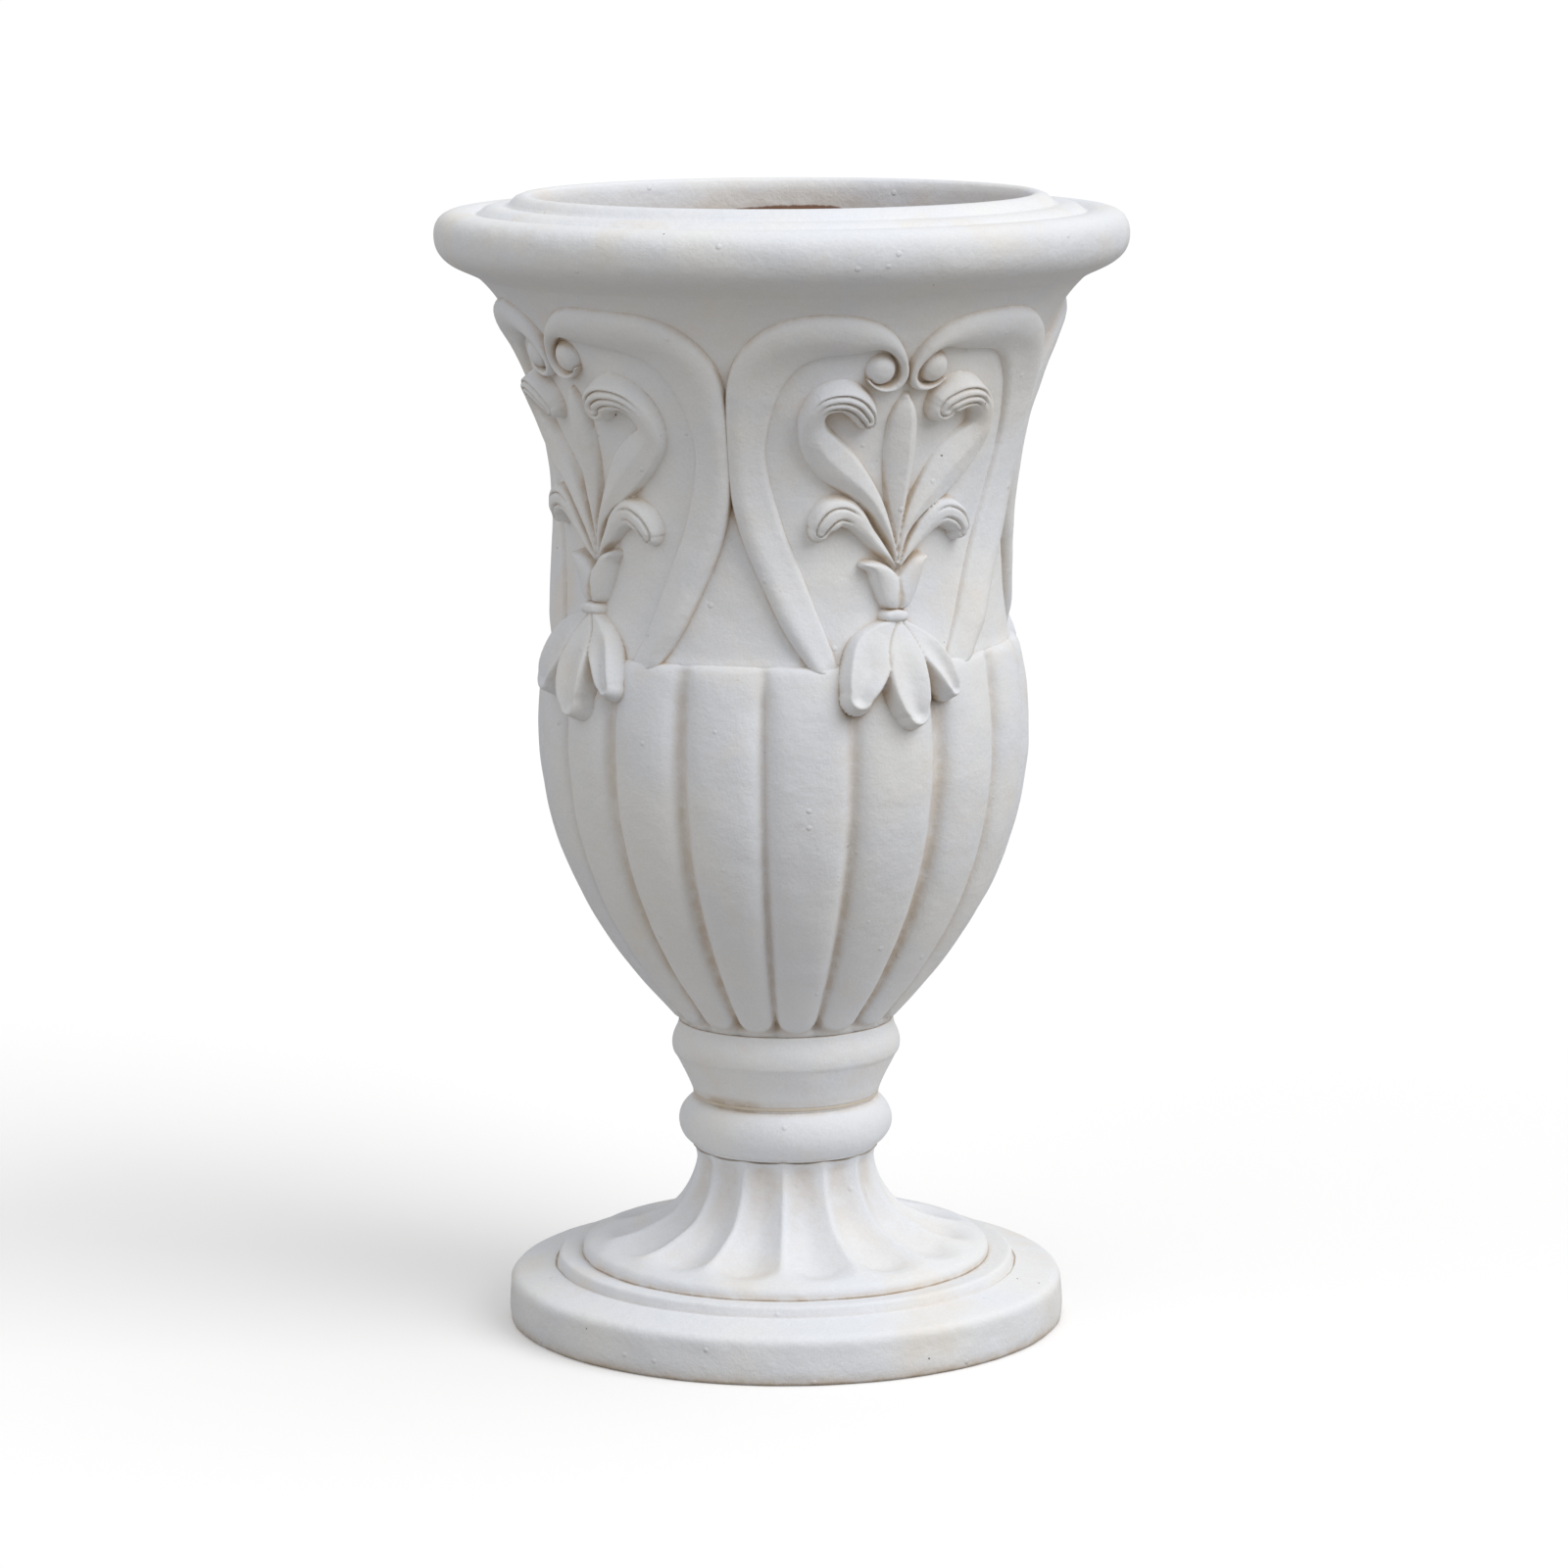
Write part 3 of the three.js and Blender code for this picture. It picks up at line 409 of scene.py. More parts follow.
bowl = {
    "base": 189.7,
    "lower": [(66.6, 189.7), (101, 227), (151.6, 281.1), (151.6, 376)],
    "upper": [(151.6, 376), (151.6, 392), (148.6, 413.5), (145.2, 424)],
    "ledge": [(144.2, 426.4), (142.6, 428.2), (140.4, 429.3), (137.5, 429.8)],
    "inside": [(121.6, 429.8), (125.6, 416), (130.8, 376), (126.8, 326), (100.8, 249.5), (72, 216.5)],
    "floor": [(62, 209), (52, 206.6), (30, 206), (14.5, 206), (14, 205.2), (14, 190.8), (14.6, 189.7)],
    "steps": 540,
    # the grooves as the hand drew them: where, in degrees, and how far each was opened from line to channel
    "grooves": [12, 33.5, 53.5, 71.5, 90, 110, 130, 150, 170, 190, 210, 230, 250, 269, 287.5, 307.7,
                327.8, 349],
    "opened": [0.9, 0.6, 0.3, 0.4, 0.3, 0.5, 0.2, 0.6, 0.3, 0.4, 0.5, 0.2, 0.6, 0.3, 0.6, 0.7, 0.15, 0.45],
    # share of the way from crest to groove, then share of the depth in a tight groove and in an open one
    "section": [(0, 0, 0), (0.2, 0.012, 0.016), (0.4, 0.055, 0.08), (0.55, 0.12, 0.18), (0.68, 0.22, 0.34),
                (0.78, 0.35, 0.57), (0.86, 0.53, 0.82), (0.92, 0.75, 0.95), (0.96, 0.93, 0.99), (1, 1, 1)],
    "depth": 8.4, "depthAtBase": 0.62, "fullFrom": 70,  # mm, share of it at the base, mm above the base
    "fading": (404, 424), "faded": 0.45,  # between these heights the grooves lose this share of their depth
    "onLedge": [0.5, 0.36, 0.14],  # shares of the depth where they run out over the ledge
    "endRound": 10, "endDepth": 3.6,  # the lobes' round ends at the base
    # the ochre in the grooves is partly painted shade: more in deep, open grooves, towards the base and in
    # the recesses at the lobes' ends
    "dustAndShade": (0.4, 0.95), "dustAndShadeHeights": (340, 215, 0.6), "dustAndShadeAtEnds": 0.85,  # ochre held in the grooves
}
lower, upper = bezier(bowl["lower"], 90), bezier(bowl["upper"], 22)[1:]
outline = np.vstack([lower, upper, bowl["ledge"], spline(bowl["inside"], 60), bowl["floor"]])
wallRows = len(lower) + len(upper)
height = outline[:, 1:]
angles = azimuths(bowl["steps"])
grooves = np.array([bowl["grooves"][-1] - 360] + bowl["grooves"] + [bowl["grooves"][0] + 360])
opened = np.array([bowl["opened"][-1]] + bowl["opened"] + [bowl["opened"][0]])
first = np.searchsorted(grooves, angles, side="right") - 1
share = (angles - grooves[first]) / (grooves[first + 1] - grooves[first])
across = np.abs(2 * share - 1)  # 0 on a lobe's crest, 1 in the groove
wide = opened[first + (share > 0.5)]
shares, tightDepths, openDepths = spline(bowl["section"], 120).T
lobe = (1 - wide) * np.interp(across, shares, tightDepths) + wide * np.interp(across, shares, openDepths)
outside = np.zeros((len(outline), 1))
outside[:wallRows] = ease(height[:wallRows], bowl["base"] - 0.5, bowl["base"] + 2.5)
outside[:wallRows] *= 1 - bowl["faded"] * ease(height[:wallRows], *bowl["fading"])
outside[wallRows:wallRows + len(bowl["onLedge"]), 0] = bowl["onLedge"]
rampIn = ease(height, bowl["base"], bowl["base"] + bowl["fullFrom"], bowl["depthAtBase"])
lobeEnd = bowl["base"] + 3 + bowl["endRound"] * (1 - np.sqrt(1 - np.minimum(across, 0.99) ** 2))
pulledIn = np.clip((lobeEnd[None, :] - height) / bowl["endRound"] + 0.1, 0, 1) ** 0.6
cut = bowl["depth"] * lobe[None, :] * (outside * rampIn) + bowl["endDepth"] * pulledIn * outside
# groove ochre with painted shade, by depth, height and the lobes' ends
channel = ease(lobe, *bowl["dustAndShade"]) * (0.5 + 0.5 * wide)
dustAndShadeAmount = channel[None, :] * outside * ease(height, *bowl["dustAndShadeHeights"])
dustAndShadeAmount = np.maximum(dustAndShadeAmount, bowl["dustAndShadeAtEnds"] * pulledIn * outside)
turnedPiece("bowl_cast", outline, bowl["steps"], ["bowl"], cut=cut, crease=dustAndShadeAmount,
            raw=rawFrom(wallRows + len(bowl["ledge"]), outline))
print("bowl made")

neck = {
    "fillet": [(137.5, 427.2), (139.4, 427.4), (139.6, 429.2), (139, 430.8), (138.4, 432.8)],
    "lower": [(138.6, 430), (136, 446.1), (133.2, 470.3), (133.2, 492)],
    "upper": [(133.2, 492), (133.2, 544.9), (155, 624.4), (184, 650)],
    "edge": [(184.1, 650.1), (184, 650.3), (183.8, 650.3)],
    "inside": [(147.8, 650.3), (147, 623.6), (133, 588), (124.2, 553.2), (116.2, 492), (121.6, 430.2)],
    "steps": 256,
}
neckLine = np.vstack([bezier(neck["lower"], 24), bezier(neck["upper"], 64)[1:]])
inside = spline(neck["inside"], 70)
outline = np.vstack([neck["fillet"], neckLine[2:], neck["edge"], inside])
turnedPiece("neck_cast", outline, neck["steps"], ["neck"], raw=rawFrom(len(outline) - len(inside), outline))

rim = {
    "radius": 212 - handMade["reach"], "mouth": 152.8, "spacing": 2.4, "steps": 288,
    # where the brush stopped inside the mouth: height, its waver (mm, waves round, phase), and what it missed
    "washEnds": 674.6, "waver": [(1.5, 5, 0), (1.1, 11, 40)],
    "washMissed": 8.2, "missedAt": 147.5, "missedWidth": 17,
    "edge": (-4.5, 4), "thin": (-15, -3), "thinShade": 0.4,  # mm below that line
}
outer, mouth = rim["radius"], rim["mouth"]
underside = [(147.8, 649.8), (183.6, 649.8), (183.8, 649.8)]
swell = bezier([(184, 649.9), (192.5, 656.2), (outer, 657), (outer, 675.5)], 20)
roll = bezier([(outer, 675.5), (outer, 684.5), (outer - 5, 690), (outer - 14, 690.3)], 14)[1:]
stepUp = [(outer - 21, 689.9), (outer - 24.6, 688.2), (outer - 26, 687.6), (outer - 27.4, 688.8),
          (outer - 31, 691.7), (outer - 36, 693.2), (outer - 41.5, 693.3)]
lip = [(mouth + 14.4, 692.8), (mouth + 12.6, 693.2), (mouth + 11, 695.2), (mouth + 8.5, 698),
       (mouth + 4.6, 699.6), (mouth + 1, 699.5), (mouth - 1.4, 697.6), (mouth - 2.6, 693),
       (mouth - 3.6, 684), (148, 668)]
outline = turnedOutline(underside + swell.tolist() + roll.tolist() + stepUp + lip, rim["spacing"])
around = azimuths(rim["steps"])
fromMissed = (around - rim["missedAt"]) / rim["missedWidth"]
washEnd = rim["washEnds"] + rim["washMissed"] * np.exp(-fromMissed ** 2)
washEnd += sum(size * np.sin(np.radians(around * waves + phase)) for size, waves, phase in rim["waver"])
belowWash = washEnd[None, :] - outline[:, 1:]
inMouth = outline[:, :1] < mouth
turnedPiece("rim_cast", outline, rim["steps"], ["rim"], raw=inMouth * ease(belowWash, *rim["edge"]),
            crease=rim["thinShade"] * inMouth * ease(belowWash, *rim["thin"]))
print("neck and rim made")

panels = {
    # where the four mouldings were pressed on: near enough over a lobe, as the hand set them
    "places": [1.7, 100, 180, 278.2], "narrow": 40.0, "edge": 40.8, "drawPower": 3.5, "rightCurl": 2.6,
    "drift": [(0, 0), (1, -1), (-1, 1), (-3, 4)],  # push on each pair of curls, degrees and mm
    # the line that a tassel follows between the bowl's wall and the neck's
    "shoulder": [(145.2, 424), (143.2, 430), (140.6, 436), (138, 442.5), (136, 450), (134.9, 458)],
}
shoulderLine = np.vstack([lower, upper, spline(panels["shoulder"], 24)[1:], neckLine[neckLine[:, 1] > 459]])


def neckWall(height):  # radius of the wall that the ornament lies on
    return np.interp(height, neckLine[:, 1], neckLine[:, 0])


def shoulderWall(height):
    return np.interp(height, shoulderLine[:, 1], shoulderLine[:, 0])


def panelSides(number):  # azimuth, and how far the outer part is drawn out on the left and on the right
    places = panels["places"]
    ahead = (places[(number + 1) % len(places)] - places[number]) % 360 / 2
    behind = (places[number] - places[number - 1]) % 360 / 2
    return places[number], {-1: behind / panels["narrow"] - 1, 1: ahead / panels["narrow"] - 1}


def onWall(number, angle, height, rise, wall):  # signed angle from the ornament's middle line
    azimuth, draw = panelSides(number)
    share = np.minimum(np.abs(angle) / panels["edge"], 1.05)
    drawn = angle * (1 + np.where(angle < 0, draw[-1], draw[1]) * share ** panels["drawPower"])
    slope = (wall(height + 3) - wall(height - 3)) / 6
    off = rise / np.hypot(1, slope)
    return roundTheUrn(wall(height) + off, azimuth + drawn, height - off * slope)


def pressed(number, side, angle, height, rise):  # the right curl of the mould stands nearer the middle
    curl = ease(angle, 22, 11) * ease(height, 574, 596)
    aside, up = panels["drift"][number]
    signed = side * angle + aside * curl - (panels["rightCurl"] * ease(angle, 20, 11) if side > 0 else 0)
    return onWall(number, signed, height + up * curl, rise, neckWall)


def sideLabel(kind, number, side):
    return f"{kind}_{'left' if side < 0 else 'right'}_{number + 1}"


scroll = {
    "stations": 190, "rise": 8.2, "tipRise": 6, "sunk": -0.8, "bed": -1.76,
    "footLower": 2.2, "lowest": 426,  # mm by which it springs lower, and the height where its foot is cut off
    "cordFrom": (0.66, 0.84), "tipFrom": (0.8, 1), "footFrom": (0.07, 0.01),  # shares of its length
    # outer and inner edge, paired: degrees out from the middle line and height in mm
    "outer": [(22.4, 426), (23.8, 430.5), (29, 450.5), (33.8, 476.3), (37.4, 498.1), (39.7, 519.9),
              (40.6, 537.5), (40.8, 555.3), (40.7, 570.1), (40.4, 584.9), (39.8, 598.1), (38.2, 611.5),
              (34.8, 624.8), (30, 634.6), (23.6, 639.3), (16.5, 638.9), (12.7, 636.8), (8.7, 632.5),
              (5.5, 626.1), (3.1, 617.9), (1.6, 608.8), (1.3, 601.9), (2.3, 596.1), (4, 593.2),
              (6.6, 592.9), (9, 595.6), (10.9, 600.3)],
    "inner": [(14.6, 424), (15.5, 428.5), (20.6, 461), (24.3, 484.5), (27.7, 505), (30.2, 524),
              (31.7, 539.5), (32.5, 556), (31.9, 570), (30.8, 582), (29.2, 593), (27.3, 601.2),
              (25.2, 607.6), (22.8, 611.8), (19.5, 614.3), (15.5, 615.2), (12.6, 616.6), (9.9, 618.4),
              (7.6, 617.9), (5.4, 613.9), (3.9, 608), (3.7, 602.5), (4.5, 598.8), (5.6, 597),
              (7.2, 596.7), (9, 598.4), (10.3, 601.4)],
    # share of the way from outer to inner edge, and share of the rise there: a band, then a round cord
    "band": [(0, 0), (0.015, 0.35), (0.045, 0.64), (0.1, 0.82), (0.17, 0.93), (0.25, 0.99), (0.33, 1),
             (0.42, 0.95), (0.52, 0.85), (0.64, 0.72), (0.76, 0.62), (0.86, 0.55), (0.93, 0.46),
             (0.975, 0.28), (1, 0)],
    "cord": [(0, 0), (0.03, 0.35), (0.09, 0.62), (0.17, 0.8), (0.27, 0.92), (0.38, 0.985), (0.48, 1),
             (0.58, 0.985), (0.68, 0.93), (0.77, 0.84), (0.85, 0.71), (0.91, 0.56), (0.96, 0.38),
             (0.985, 0.2), (1, 0)],
    # the ochre along the strap's edges, where it meets the wall, is partly painted shade
    "outerDustAndShade": 0.8, "innerDustAndShade": 0.35, "dustAndShadeReach": 0.03,  # ochre along both edges, and share of the width
}


def scrollStrap(number, side):
    both = spline([o + i for o, i in zip(scroll["outer"], scroll["inner"])], scroll["stations"])
    along = np.linspace(0, 1, scroll["stations"])
    toCord = ease(along, *scroll["cordFrom"])[:, None]
    band, cord = np.array(scroll["band"]), np.array(scroll["cord"])
    across = band[:, 0] * (1 - toCord) + cord[:, 0] * toCord
    lift = band[:, 1] * (1 - toCord) + cord[:, 1] * toCord
    rise = (scroll["rise"] + (scroll["tipRise"] - scroll["rise"]) * ease(along, *scroll["tipFrom"])
            - scroll["footLower"] * ease(along, *scroll["footFrom"]))
    angle = both[:, :1] + (both[:, 2:3] - both[:, :1]) * across
    height = both[:, 1:2] + (both[:, 3:] - both[:, 1:2]) * across
    rises = scroll["sunk"] + (rise[:, None] - scroll["sunk"]) * lift
    angle = np.hstack([angle, angle[:, -1:], angle[:, :1]])  # two more columns close the strap underneath
    height = np.maximum(np.hstack([height, height[:, -1:], height[:, :1]]), scroll["lowest"])
    rises = np.hstack([rises, np.full((len(along), 2), scroll["bed"])])
    # ochre with painted shade along the outer and inner edge
    dustAndShadeAmount = (scroll["innerDustAndShade"] * ease(np.abs(across - 0.985), scroll["dustAndShadeReach"], 0)
             + scroll["outerDustAndShade"] * ease(across, scroll["dustAndShadeReach"], 0))
    dustAndShadeAmount = np.hstack([dustAndShadeAmount, np.zeros((len(along), 2))])
    label = sideLabel("scroll", number, side)
    addPiece(label + "_pressed", pressed(number, side, angle, height, rises).reshape(-1, 3),
             tubeFaces(*angle.shape, mirrored=side > 0), [label], crease=dustAndShadeAmount.reshape(-1))


# the round berry in the eye of each scroll
berry = {"angle": 7.7, "height": 606.2, "radius": 9.5, "rise": 8.4, "sunk": 0.8, "flatTop": 0.02,
         "rings": 14, "steps": 40}


def berryEye(number, side):
    points, rings, steps = [], berry["rings"], berry["steps"]
    degreesPerMm = math.degrees(1 / float(neckWall(berry["height"])))
    turn = np.radians(azimuths(steps))
    for ring in range(rings + 1):
        tilt = math.pi / 2 * ring / rings
        reach = berry["radius"] * (berry["flatTop"] if ring == rings else math.cos(tilt) ** 0.8)
        lift = berry["rise"] * math.sin(tilt) ** 1.2 - berry["sunk"]
        points.append(pressed(number, side, berry["angle"] + reach * np.cos(turn) * degreesPerMm,
                              berry["height"] + reach * np.sin(turn), np.full(steps, lift)))
    label = sideLabel("berry", number, side)
    addPiece(label + "_pressed", np.vstack(points), tubeFaces(rings + 1, steps, mirrored=side < 0), [label])


# Each leaf is a stroke of the modelling tool along a line of (degrees, height, half width, rise), and the
# strokes overlap on one bed. This gives a stroke's height above the wall at every spot of a grid.
def stroke(x, z, line, wall, edgeSlope=3.4, shoulder=2.2, shape=None):
    rows = spline([(math.radians(angle) * float(wall(height)), height, half, rise)
                   for angle, height, half, rise in line], 90)
    starts, steps = rows[:-1, :2], np.diff(rows[:, :2], axis=0)
    spots = np.stack([x.ravel(), z.ravel()], 1)
    nearest = np.full(len(spots), 1e9)
    share, sign = np.zeros(len(spots)), np.ones(len(spots))
    for i, (start, step) in enumerate(zip(starts, steps)):
        gap = spots - start
        t = np.clip(gap @ step / (step @ step), 0, 1)
        miss = gap - t[:, None] * step
        distance = np.hypot(miss[:, 0], miss[:, 1])
        closer = distance < nearest
        nearest = np.where(closer, distance, nearest)
        share = np.where(closer, (i + t) / len(starts), share)
        sign = np.where(closer, np.sign(step[0] * gap[:, 1] - step[1] * gap[:, 0]), sign)
    stations = np.linspace(0, 1, len(rows))
    half = np.interp(share, stations, rows[:, 2])
    rise = np.interp(share, stations, rows[:, 3])
    across = sign * nearest / half  # -1 on the right of the line, 1 on its left
    if shape:
        top = rise * shape(np.clip(across, -1.1, 1.1), share)
    else:
        top = rise * (1 - 0.45 * np.abs(np.clip(across, -1, 1)) ** 2.2)
    return softMin(edgeSlope * (half - nearest), top, shoulder).reshape(x.shape)


def leafShape(side, outerFall, innerFall, fingers, rollFrom):  # a ridged blade that opens in a fingered roll
    def shape(across, share):
        outwards = across * side
        blade = 1 - np.where(outwards > 0, outerFall, innerFall) * np.abs(outwards) ** 1.3
        roll = np.sqrt(np.maximum(1 - 0.7 * outwards ** 2, 0.05))
        for at in fingers:
            groove = np.exp(-((outwards - at) / 0.06) ** 2)
            roll = roll - 0.2 * groove * ease(share, rollFrom + 0.06, rollFrom + 0.18)
        toRoll = ease(share, rollFrom - 0.14, rollFrom + 0.06)
        return blade * (1 - toRoll) + roll * toRoll
    return shape


def spearShape(across, share):  # a soft ridge a little to the right of its middle
    ridge = -0.22
    fromRidge = np.where(across < ridge, (ridge - across) / (1 + ridge), (across - ridge) / (1 - ridge))
    return 0.42 * (1 - fromRidge) + 0.5 * np.sqrt(np.maximum(1 - fromRidge ** 2, 0)) + 0.1


def petalShape(across, share):  # dished, with a raised edge, and plain where the petals spring
    dish = 0.98 - 0.36 * np.exp(-(across / 0.46) ** 2) * ease(share, 0.25, 0.7)
    return dish + 0.06 * ease(share, 0.3, 0)


palmette = {
    "grid": 0.75, "span": (-28.5, 29), "heights": (456, 608), "floor": -1.0,
    "spear": [(0.3, 486, 1.4, 4), (0.4, 500, 2.2, 5), (0.3, 512, 4, 6.2), (0.1, 527, 7.4, 7.4),
              (0, 545, 9.8, 8.4), (-0.2, 561, 10.6, 9), (-0.3, 574, 9.8, 8.6), (-0.4, 583, 7, 7.4),
              (-0.5, 588.5, 3.2, 5)],
    "upperLeft": [(0.4, 488, 1.8, 5), (-1.4, 502, 3.2, 7), (-4.8, 518.5, 5.8, 8.6),
                  (-8.2, 530.5, 7.8, 9.2), (-12.4, 540.7, 10.4, 9.4), (-16.2, 549, 12, 9.2),
                  (-19.8, 559, 11.4, 9), (-22, 570, 8.9, 9.2), (-22, 580, 8.1, 11),
                  (-19.9, 588.6, 8.9, 13), (-16.2, 590.8, 9.4, 14), (-13, 587.4, 9.4, 13.6),
                  (-10.6, 580.6, 8.6, 12), (-9.8, 577, 7.2, 10.6)],
    "upperRight": [(0.9, 488, 1.8, 5), (1.8, 502, 3, 6), (3.4, 512.4, 4.8, 6.6), (6.5, 523.4, 7.6, 7),
                   (9.8, 532, 10.6, 7.2), (14, 543.4, 12.8, 7.4), (18, 553, 12.6, 7.6),
                   (21.6, 562.6, 10.4, 8), (22.5, 571, 8.4, 9), (21.2, 581, 8.6, 11),
                   (17.8, 589, 9.6, 13), (13.4, 590.6, 11, 14), (9.8, 586.4, 11.2, 12.8),
                   (9, 582.4, 10.2, 11)],
    "lowerLeft": [(0, 486, 1.6, 5), (-2.2, 492.5, 3, 6.4), (-4.8, 499, 4.6, 7.4), (-8, 507.8, 5.6, 8.2),
                  (-11.2, 516.4, 7.8, 9.2), (-14.4, 520.6, 9.8, 10.6), (-17.2, 519.4, 10.8, 11.8),
                  (-19.2, 514, 9.4, 11.6), (-20, 509.4, 6.8, 10)],
    "lowerRight": [(1.2, 486, 1.6, 5), (3.6, 495.6, 3.8, 6.6), (6.4, 503.8, 6, 7.6),
                   (9.6, 512.6, 7.8, 8.8), (13.7, 517.6, 9.4, 10.2), (17.3, 514.6, 9.4, 11.6),
                   (19.5, 508, 8, 11.4), (19.8, 504, 6, 10)],
    "calyxLeft": [(-0.9, 469, 9.6, 9.4), (-2.2, 475, 9, 10), (-4, 481.6, 7.6, 10.8), (-6.2, 486.6, 4.8, 11),
                  (-8.9, 488.4, 2.6, 9.8)],
    "calyxRight": [(0.7, 469, 9.6, 9.2), (2.4, 475, 8.6, 9.8), (4.2, 482, 7.2, 10.4), (5.7, 488, 5.4, 10.6),
                   (7.6, 491.2, 3.2, 9.6)],
    "strokes": {
        "lowerLeft": {"shape": leafShape(1, 0.35, 0.4, (-0.35, 0.35), 0.5)},
        "lowerRight": {"shape": leafShape(-1, 0.35, 0.4, (-0.35, 0.35), 0.5)},
        "upperLeft": {"shape": leafShape(1, 0.62, 0.4, (-0.42, 0, 0.42), 0.66)},
        "upperRight": {"shape": leafShape(-1, 0.25, 0.62, (-0.42, 0, 0.42), 0.66)},
        "spear": {"shape": spearShape, "edgeSlope": 3},
        "calyxLeft": {"edgeSlope": 4}, "calyxRight": {"edgeSlope": 4},
    },
}
petal = {"shape": petalShape, "edgeSlope": 3.2, "shoulder": 2.6}
tassel = {
    "grid": 0.8, "span": (-19, 17.5), "heights": (386, 457), "floor": -5.5,
    "left": [(-1.6, 452, 5.4, 6.6), (-4.6, 445, 10.4, 8.4), (-7.6, 436, 14.4, 10.4), (-10, 425, 14, 12),
             (-11.5, 417, 12.4, 12.6), (-12.4, 410.6, 9.8, 12)],
    "right": [(1, 452, 4.4, 6.4), (3.8, 443, 8.2, 8.4), (6.6, 434, 10, 10.4), (9, 424.6, 9.6, 12),
              (10.6, 416, 8.4, 12.4), (11.4, 411.6, 6.8, 12)],
    "middle": [(-0.2, 452, 4.6, 7), (-0.2, 443, 9.8, 9), (-0.4, 431, 14, 11), (-0.4, 418, 14.8, 12.6),
               (0.2, 406, 13, 13.4), (0.8, 400.2, 10.4, 13)],
    "strokes": {"left": petal, "right": petal, "middle": petal},
}
tieBead = {
    "grid": 0.7, "span": (-6.8, 5.6), "heights": (449, 465), "floor": -1.0,
    "bead": [(-2.7, 456.6, 5, 8.6), (-0.8, 456.9, 5.6, 9.6), (1.1, 456.6, 5, 8.6)],
    "strokes": {"bead": {"shoulder": 3}},
}
# the ochre along the line where strokes meet is partly painted shade
overlap = {"near": 1.1, "above": (0.6, 2), "depth": 0.9, "dustAndShade": 0.85}  # the line where strokes meet


def reliefPiece(number, kind, look, wall):
    low, high = look["heights"]
    heights = np.arange(low, high, look["grid"])
    middle = float(wall((low + high) / 2))
    angles = np.arange(look["span"][0], look["span"][1], math.degrees(look["grid"] / middle))
    angle, height = np.meshgrid(angles, heights)
    x = np.radians(angle) * wall(height)
    layers = [stroke(x, height, look[line], wall, **settings) for line, settings in look["strokes"].items()]
    layers = np.sort(np.array(layers), 0)
    rise = layers[-1]
    lap = 0 * rise
    if len(layers) > 1:
        lap = ease(rise - layers[-2], overlap["near"], 0) * ease(layers[-2], *overlap["above"])
    rise = rise - overlap["depth"] * lap
    keep = rise > 0
    row, column = np.nonzero(keep[:-1, :-1] | keep[1:, :-1] | keep[:-1, 1:] | keep[1:, 1:])
    columns = rise.shape[1]
    corner = row * columns + column
    corners = np.stack([corner, corner + 1, corner + columns + 1, corner + columns], 1)
    used, faces = np.unique(corners, return_inverse=True)
    faces = faces.reshape(-1, 4)
    total = len(used)
    angle, height, rise = angle.ravel()[used], height.ravel()[used], rise.ravel()[used]
    upperSkin = onWall(number, angle, height, np.maximum(rise, look["floor"]), wall)
    underSkin = onWall(number, angle, height, np.full(total, look["floor"] - 0.6), wall)
    edges = {}  # an edge that two faces share cancels out, which leaves the ones round the outside
    for face in faces.tolist():
        for start, end in zip(face, face[1:] + face[:1]):
            if (end, start) in edges:
                del edges[(end, start)]
            else:
                edges[(start, end)] = True
    sides = [[end, start, start + total, end + total] for start, end in edges]
    crease = np.concatenate([(overlap["dustAndShade"] * lap).ravel()[used], np.zeros(total)])
    label = f"{kind}_{number + 1}"
    addPiece(label + "_pressed", np.vstack([upperSkin, underSkin]),
             faces.tolist() + (faces[:, ::-1] + total).tolist() + sides, [label], crease=crease)


for number in range(len(panels["places"])):
    for side in (-1, 1):
        scrollStrap(number, side)
        berryEye(number, side)
    reliefPiece(number, "palmette", palmette, neckWall)
    reliefPiece(number, "tie_bead", tieBead, neckWall)
    reliefPiece(number, "tassel", tassel, shoulderWall)
print("ornament made")

studio = {
    "floorSize": 90,  # metres
    # the floor as it lights the urn, as the camera sees it, and its own light for the camera
    "floorShade": "96928c", "floorSeen": "ececec", "floorGlow": 0.18,
    "skyStrength": 0.48,
    # each lamp: strength, width of its disc, tilt from overhead and the side it comes from, in degrees
    "lamps": {"overhead": (0.6, 50, 20, 50), "window": (1.4, 42, 50, 31), "fill": (0.38, 60, 66, -80)},
}


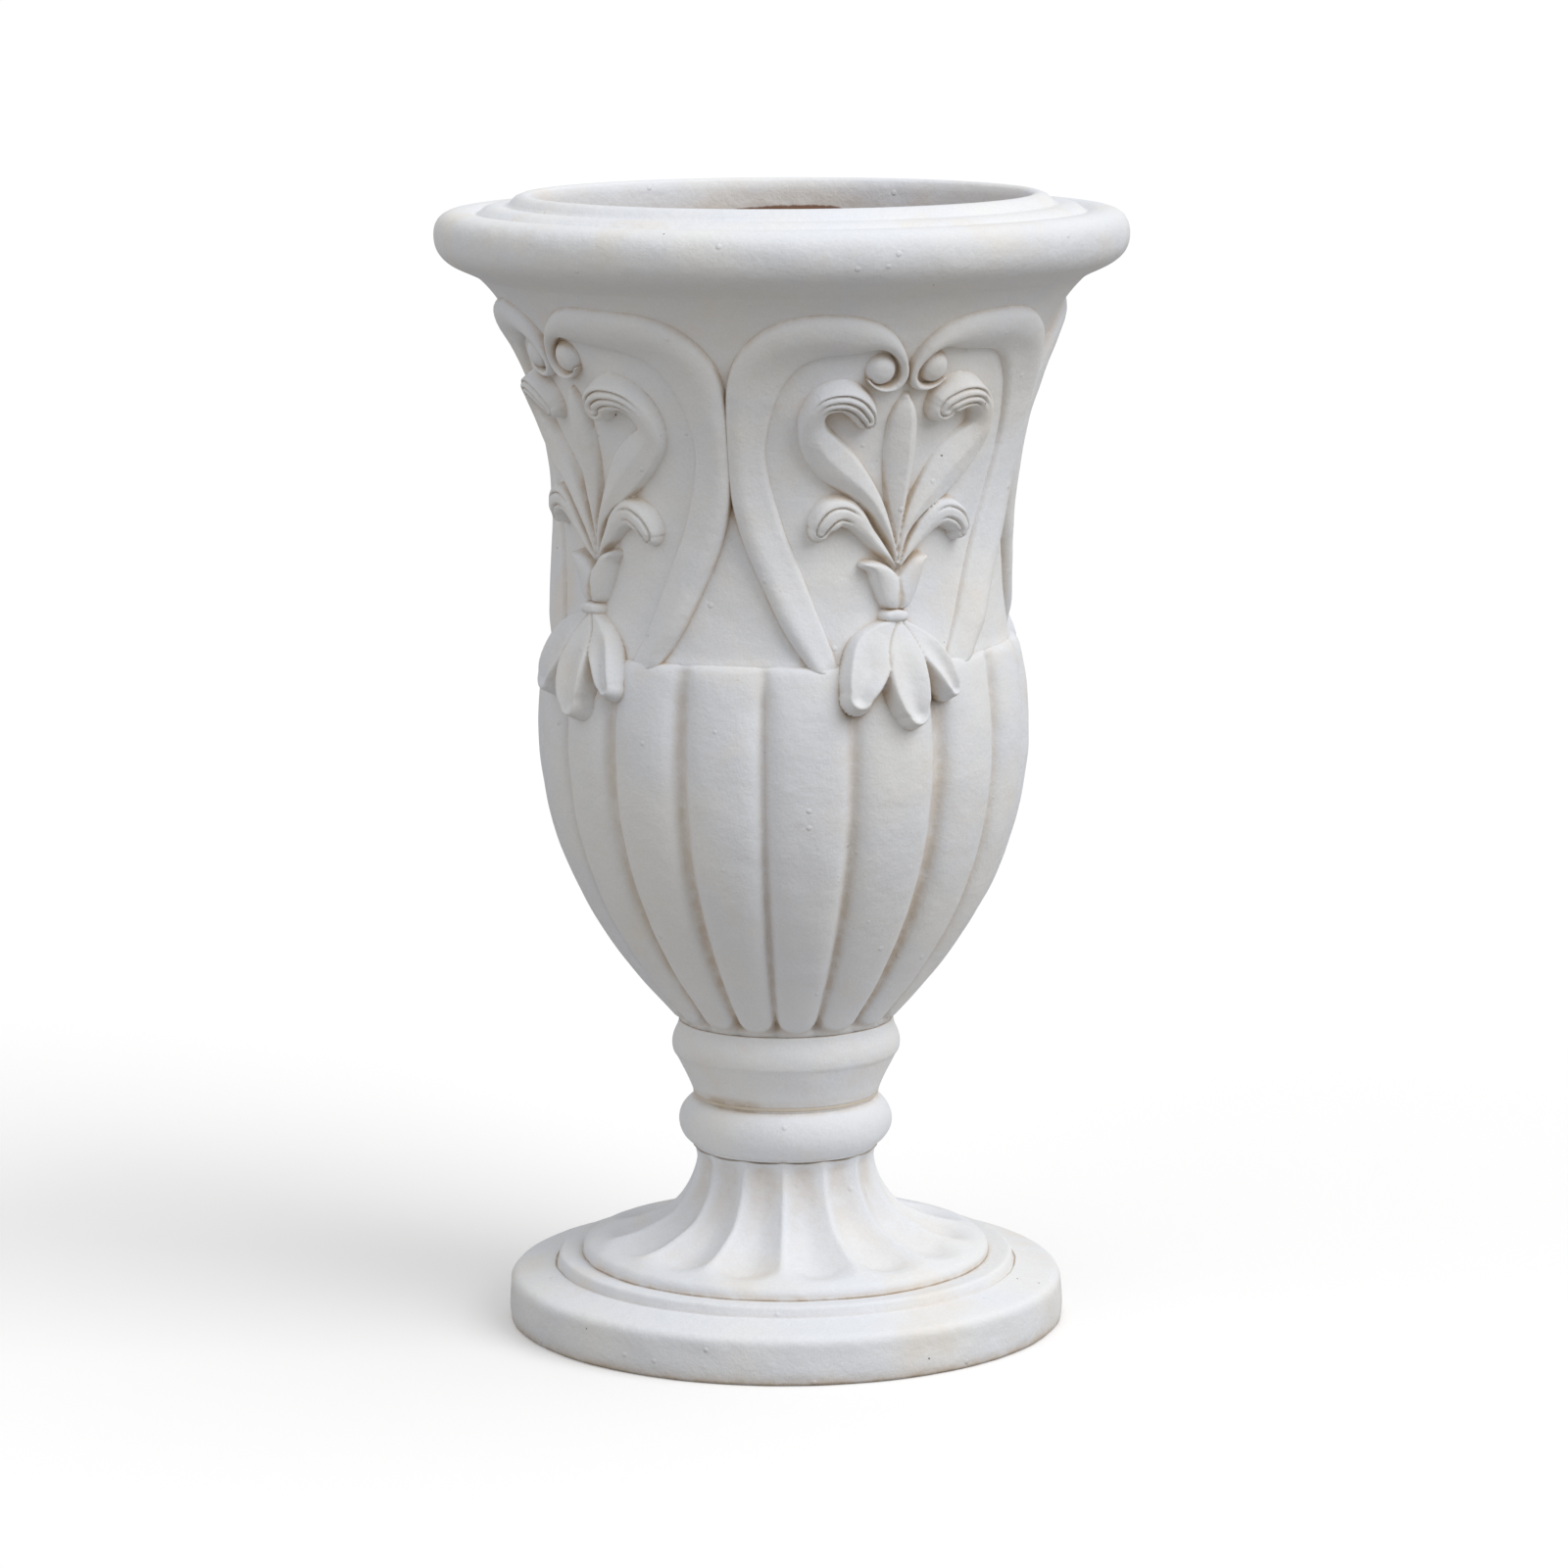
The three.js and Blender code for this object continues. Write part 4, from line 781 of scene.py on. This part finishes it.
def paintedFloor():  # plain matt paper, lifted to white for the camera while it keeps the shadow
    material = bpy.data.materials.new("matteWhitePaperRolledOut")
    material.use_nodes = True
    tree = material.node_tree
    shader = tree.nodes["Principled BSDF"]
    shader.inputs["Roughness"].default_value = 1.0
    shader.inputs["Specular IOR Level"].default_value = 0.0
    ray = addNode(tree, "ShaderNodeLightPath").outputs
    seen = addNode(tree, "ShaderNodeMath", {
        0: ray["Is Camera Ray"], 1: ray["Is Glossy Ray"]}, operation="MAXIMUM")
    seen = addNode(tree, "ShaderNodeMath", {
        0: seen.outputs[0], 1: ray["Is Transmission Ray"]}, operation="MAXIMUM")
    glow = addNode(tree, "ShaderNodeEmission", {"Color": [1, 1, 1, 1], "Strength": studio["floorGlow"]})
    dark = addNode(tree, "ShaderNodeEmission", {"Strength": 0.0})
    lift = addNode(tree, "ShaderNodeMixShader", {0: seen.outputs[0], 1: dark.outputs[0], 2: glow.outputs[0]})
    shade = addNode(tree, "ShaderNodeMix", {0: seen.outputs[0], 6: linearColour(studio["floorShade"]),
                                            7: linearColour(studio["floorSeen"])}, data_type="RGBA")
    tree.links.new(shade.outputs[2], shader.inputs["Base Color"])
    total = addNode(tree, "ShaderNodeAddShader", {0: shader.outputs[0], 1: lift.outputs[0]})
    tree.links.new(total.outputs[0], tree.nodes["Material Output"].inputs["Surface"])
    return material


half = studio["floorSize"] / 2
floorMesh = bpy.data.meshes.new("studio_floor")
floorCorners = [(-half, -half, 0), (half, -half, 0), (half, half, 0), (-half, half, 0)]
floorMesh.from_pydata(floorCorners, [], [(0, 1, 2, 3)])
floorMesh.materials.append(paintedFloor())
floor = putInScene("studio_floor", floorMesh)

world = bpy.data.worlds.new("studio")
bpy.context.scene.world = world
world.use_nodes = True
sky = world.node_tree
ray = addNode(sky, "ShaderNodeLightPath")
backdrop = addNode(sky, "ShaderNodeBackground", {"Color": [1, 1, 1, 1], "Strength": 1.0})
light = addNode(sky, "ShaderNodeBackground", {"Color": [1, 1, 1, 1], "Strength": studio["skyStrength"]})
shown = addNode(sky, "ShaderNodeMixShader", {
    0: ray.outputs["Is Camera Ray"], 1: light.outputs[0], 2: backdrop.outputs[0]})
sky.links.new(shown.outputs[0], sky.nodes["World Output"].inputs["Surface"])

for label, (strength, width, tilt, side) in studio["lamps"].items():
    lamp = bpy.data.lights.new(label, "SUN")
    lamp.energy = strength
    lamp.angle = math.radians(width)
    putInScene(label, lamp).rotation_euler = (math.radians(tilt), 0, math.radians(side))

# fitted to the rings of the urn in the photograph; the focal length is in that picture's pixels
camera = {"azimuth": -27.5, "distance": 3349.9, "height": 906.4, "pitch": -9.668, "roll": -0.275,
          "focalPixels": 5615.01, "imagePixels": 1600, "sensor": 36, "seesTo": 200}
cameraData = bpy.data.cameras.new("camera")
cameraData.sensor_width = camera["sensor"]
cameraData.lens = camera["sensor"] * camera["focalPixels"] / camera["imagePixels"]
cameraData.clip_end = camera["seesTo"]
view = putInScene("camera", cameraData)
turn, pitch, roll = (math.radians(camera[name]) for name in ("azimuth", "pitch", "roll"))
ahead = Vector((-math.sin(turn) * math.cos(pitch), math.cos(turn) * math.cos(pitch), math.sin(pitch)))
flatRight = Vector((math.cos(turn), math.sin(turn), 0))
flatUp = flatRight.cross(ahead)
right = flatRight * math.cos(roll) + flatUp * math.sin(roll)
up = flatUp * math.cos(roll) - flatRight * math.sin(roll)
view.matrix_world = Matrix((
    (right.x, up.x, -ahead.x, camera["distance"] * math.sin(turn) * mm),
    (right.y, up.y, -ahead.y, -camera["distance"] * math.cos(turn) * mm),
    (right.z, up.z, -ahead.z, camera["height"] * mm),
    (0, 0, 0, 1)))
bpy.context.scene.camera = view
bpy.context.scene.view_settings.view_transform = "Standard"
print("studio made")
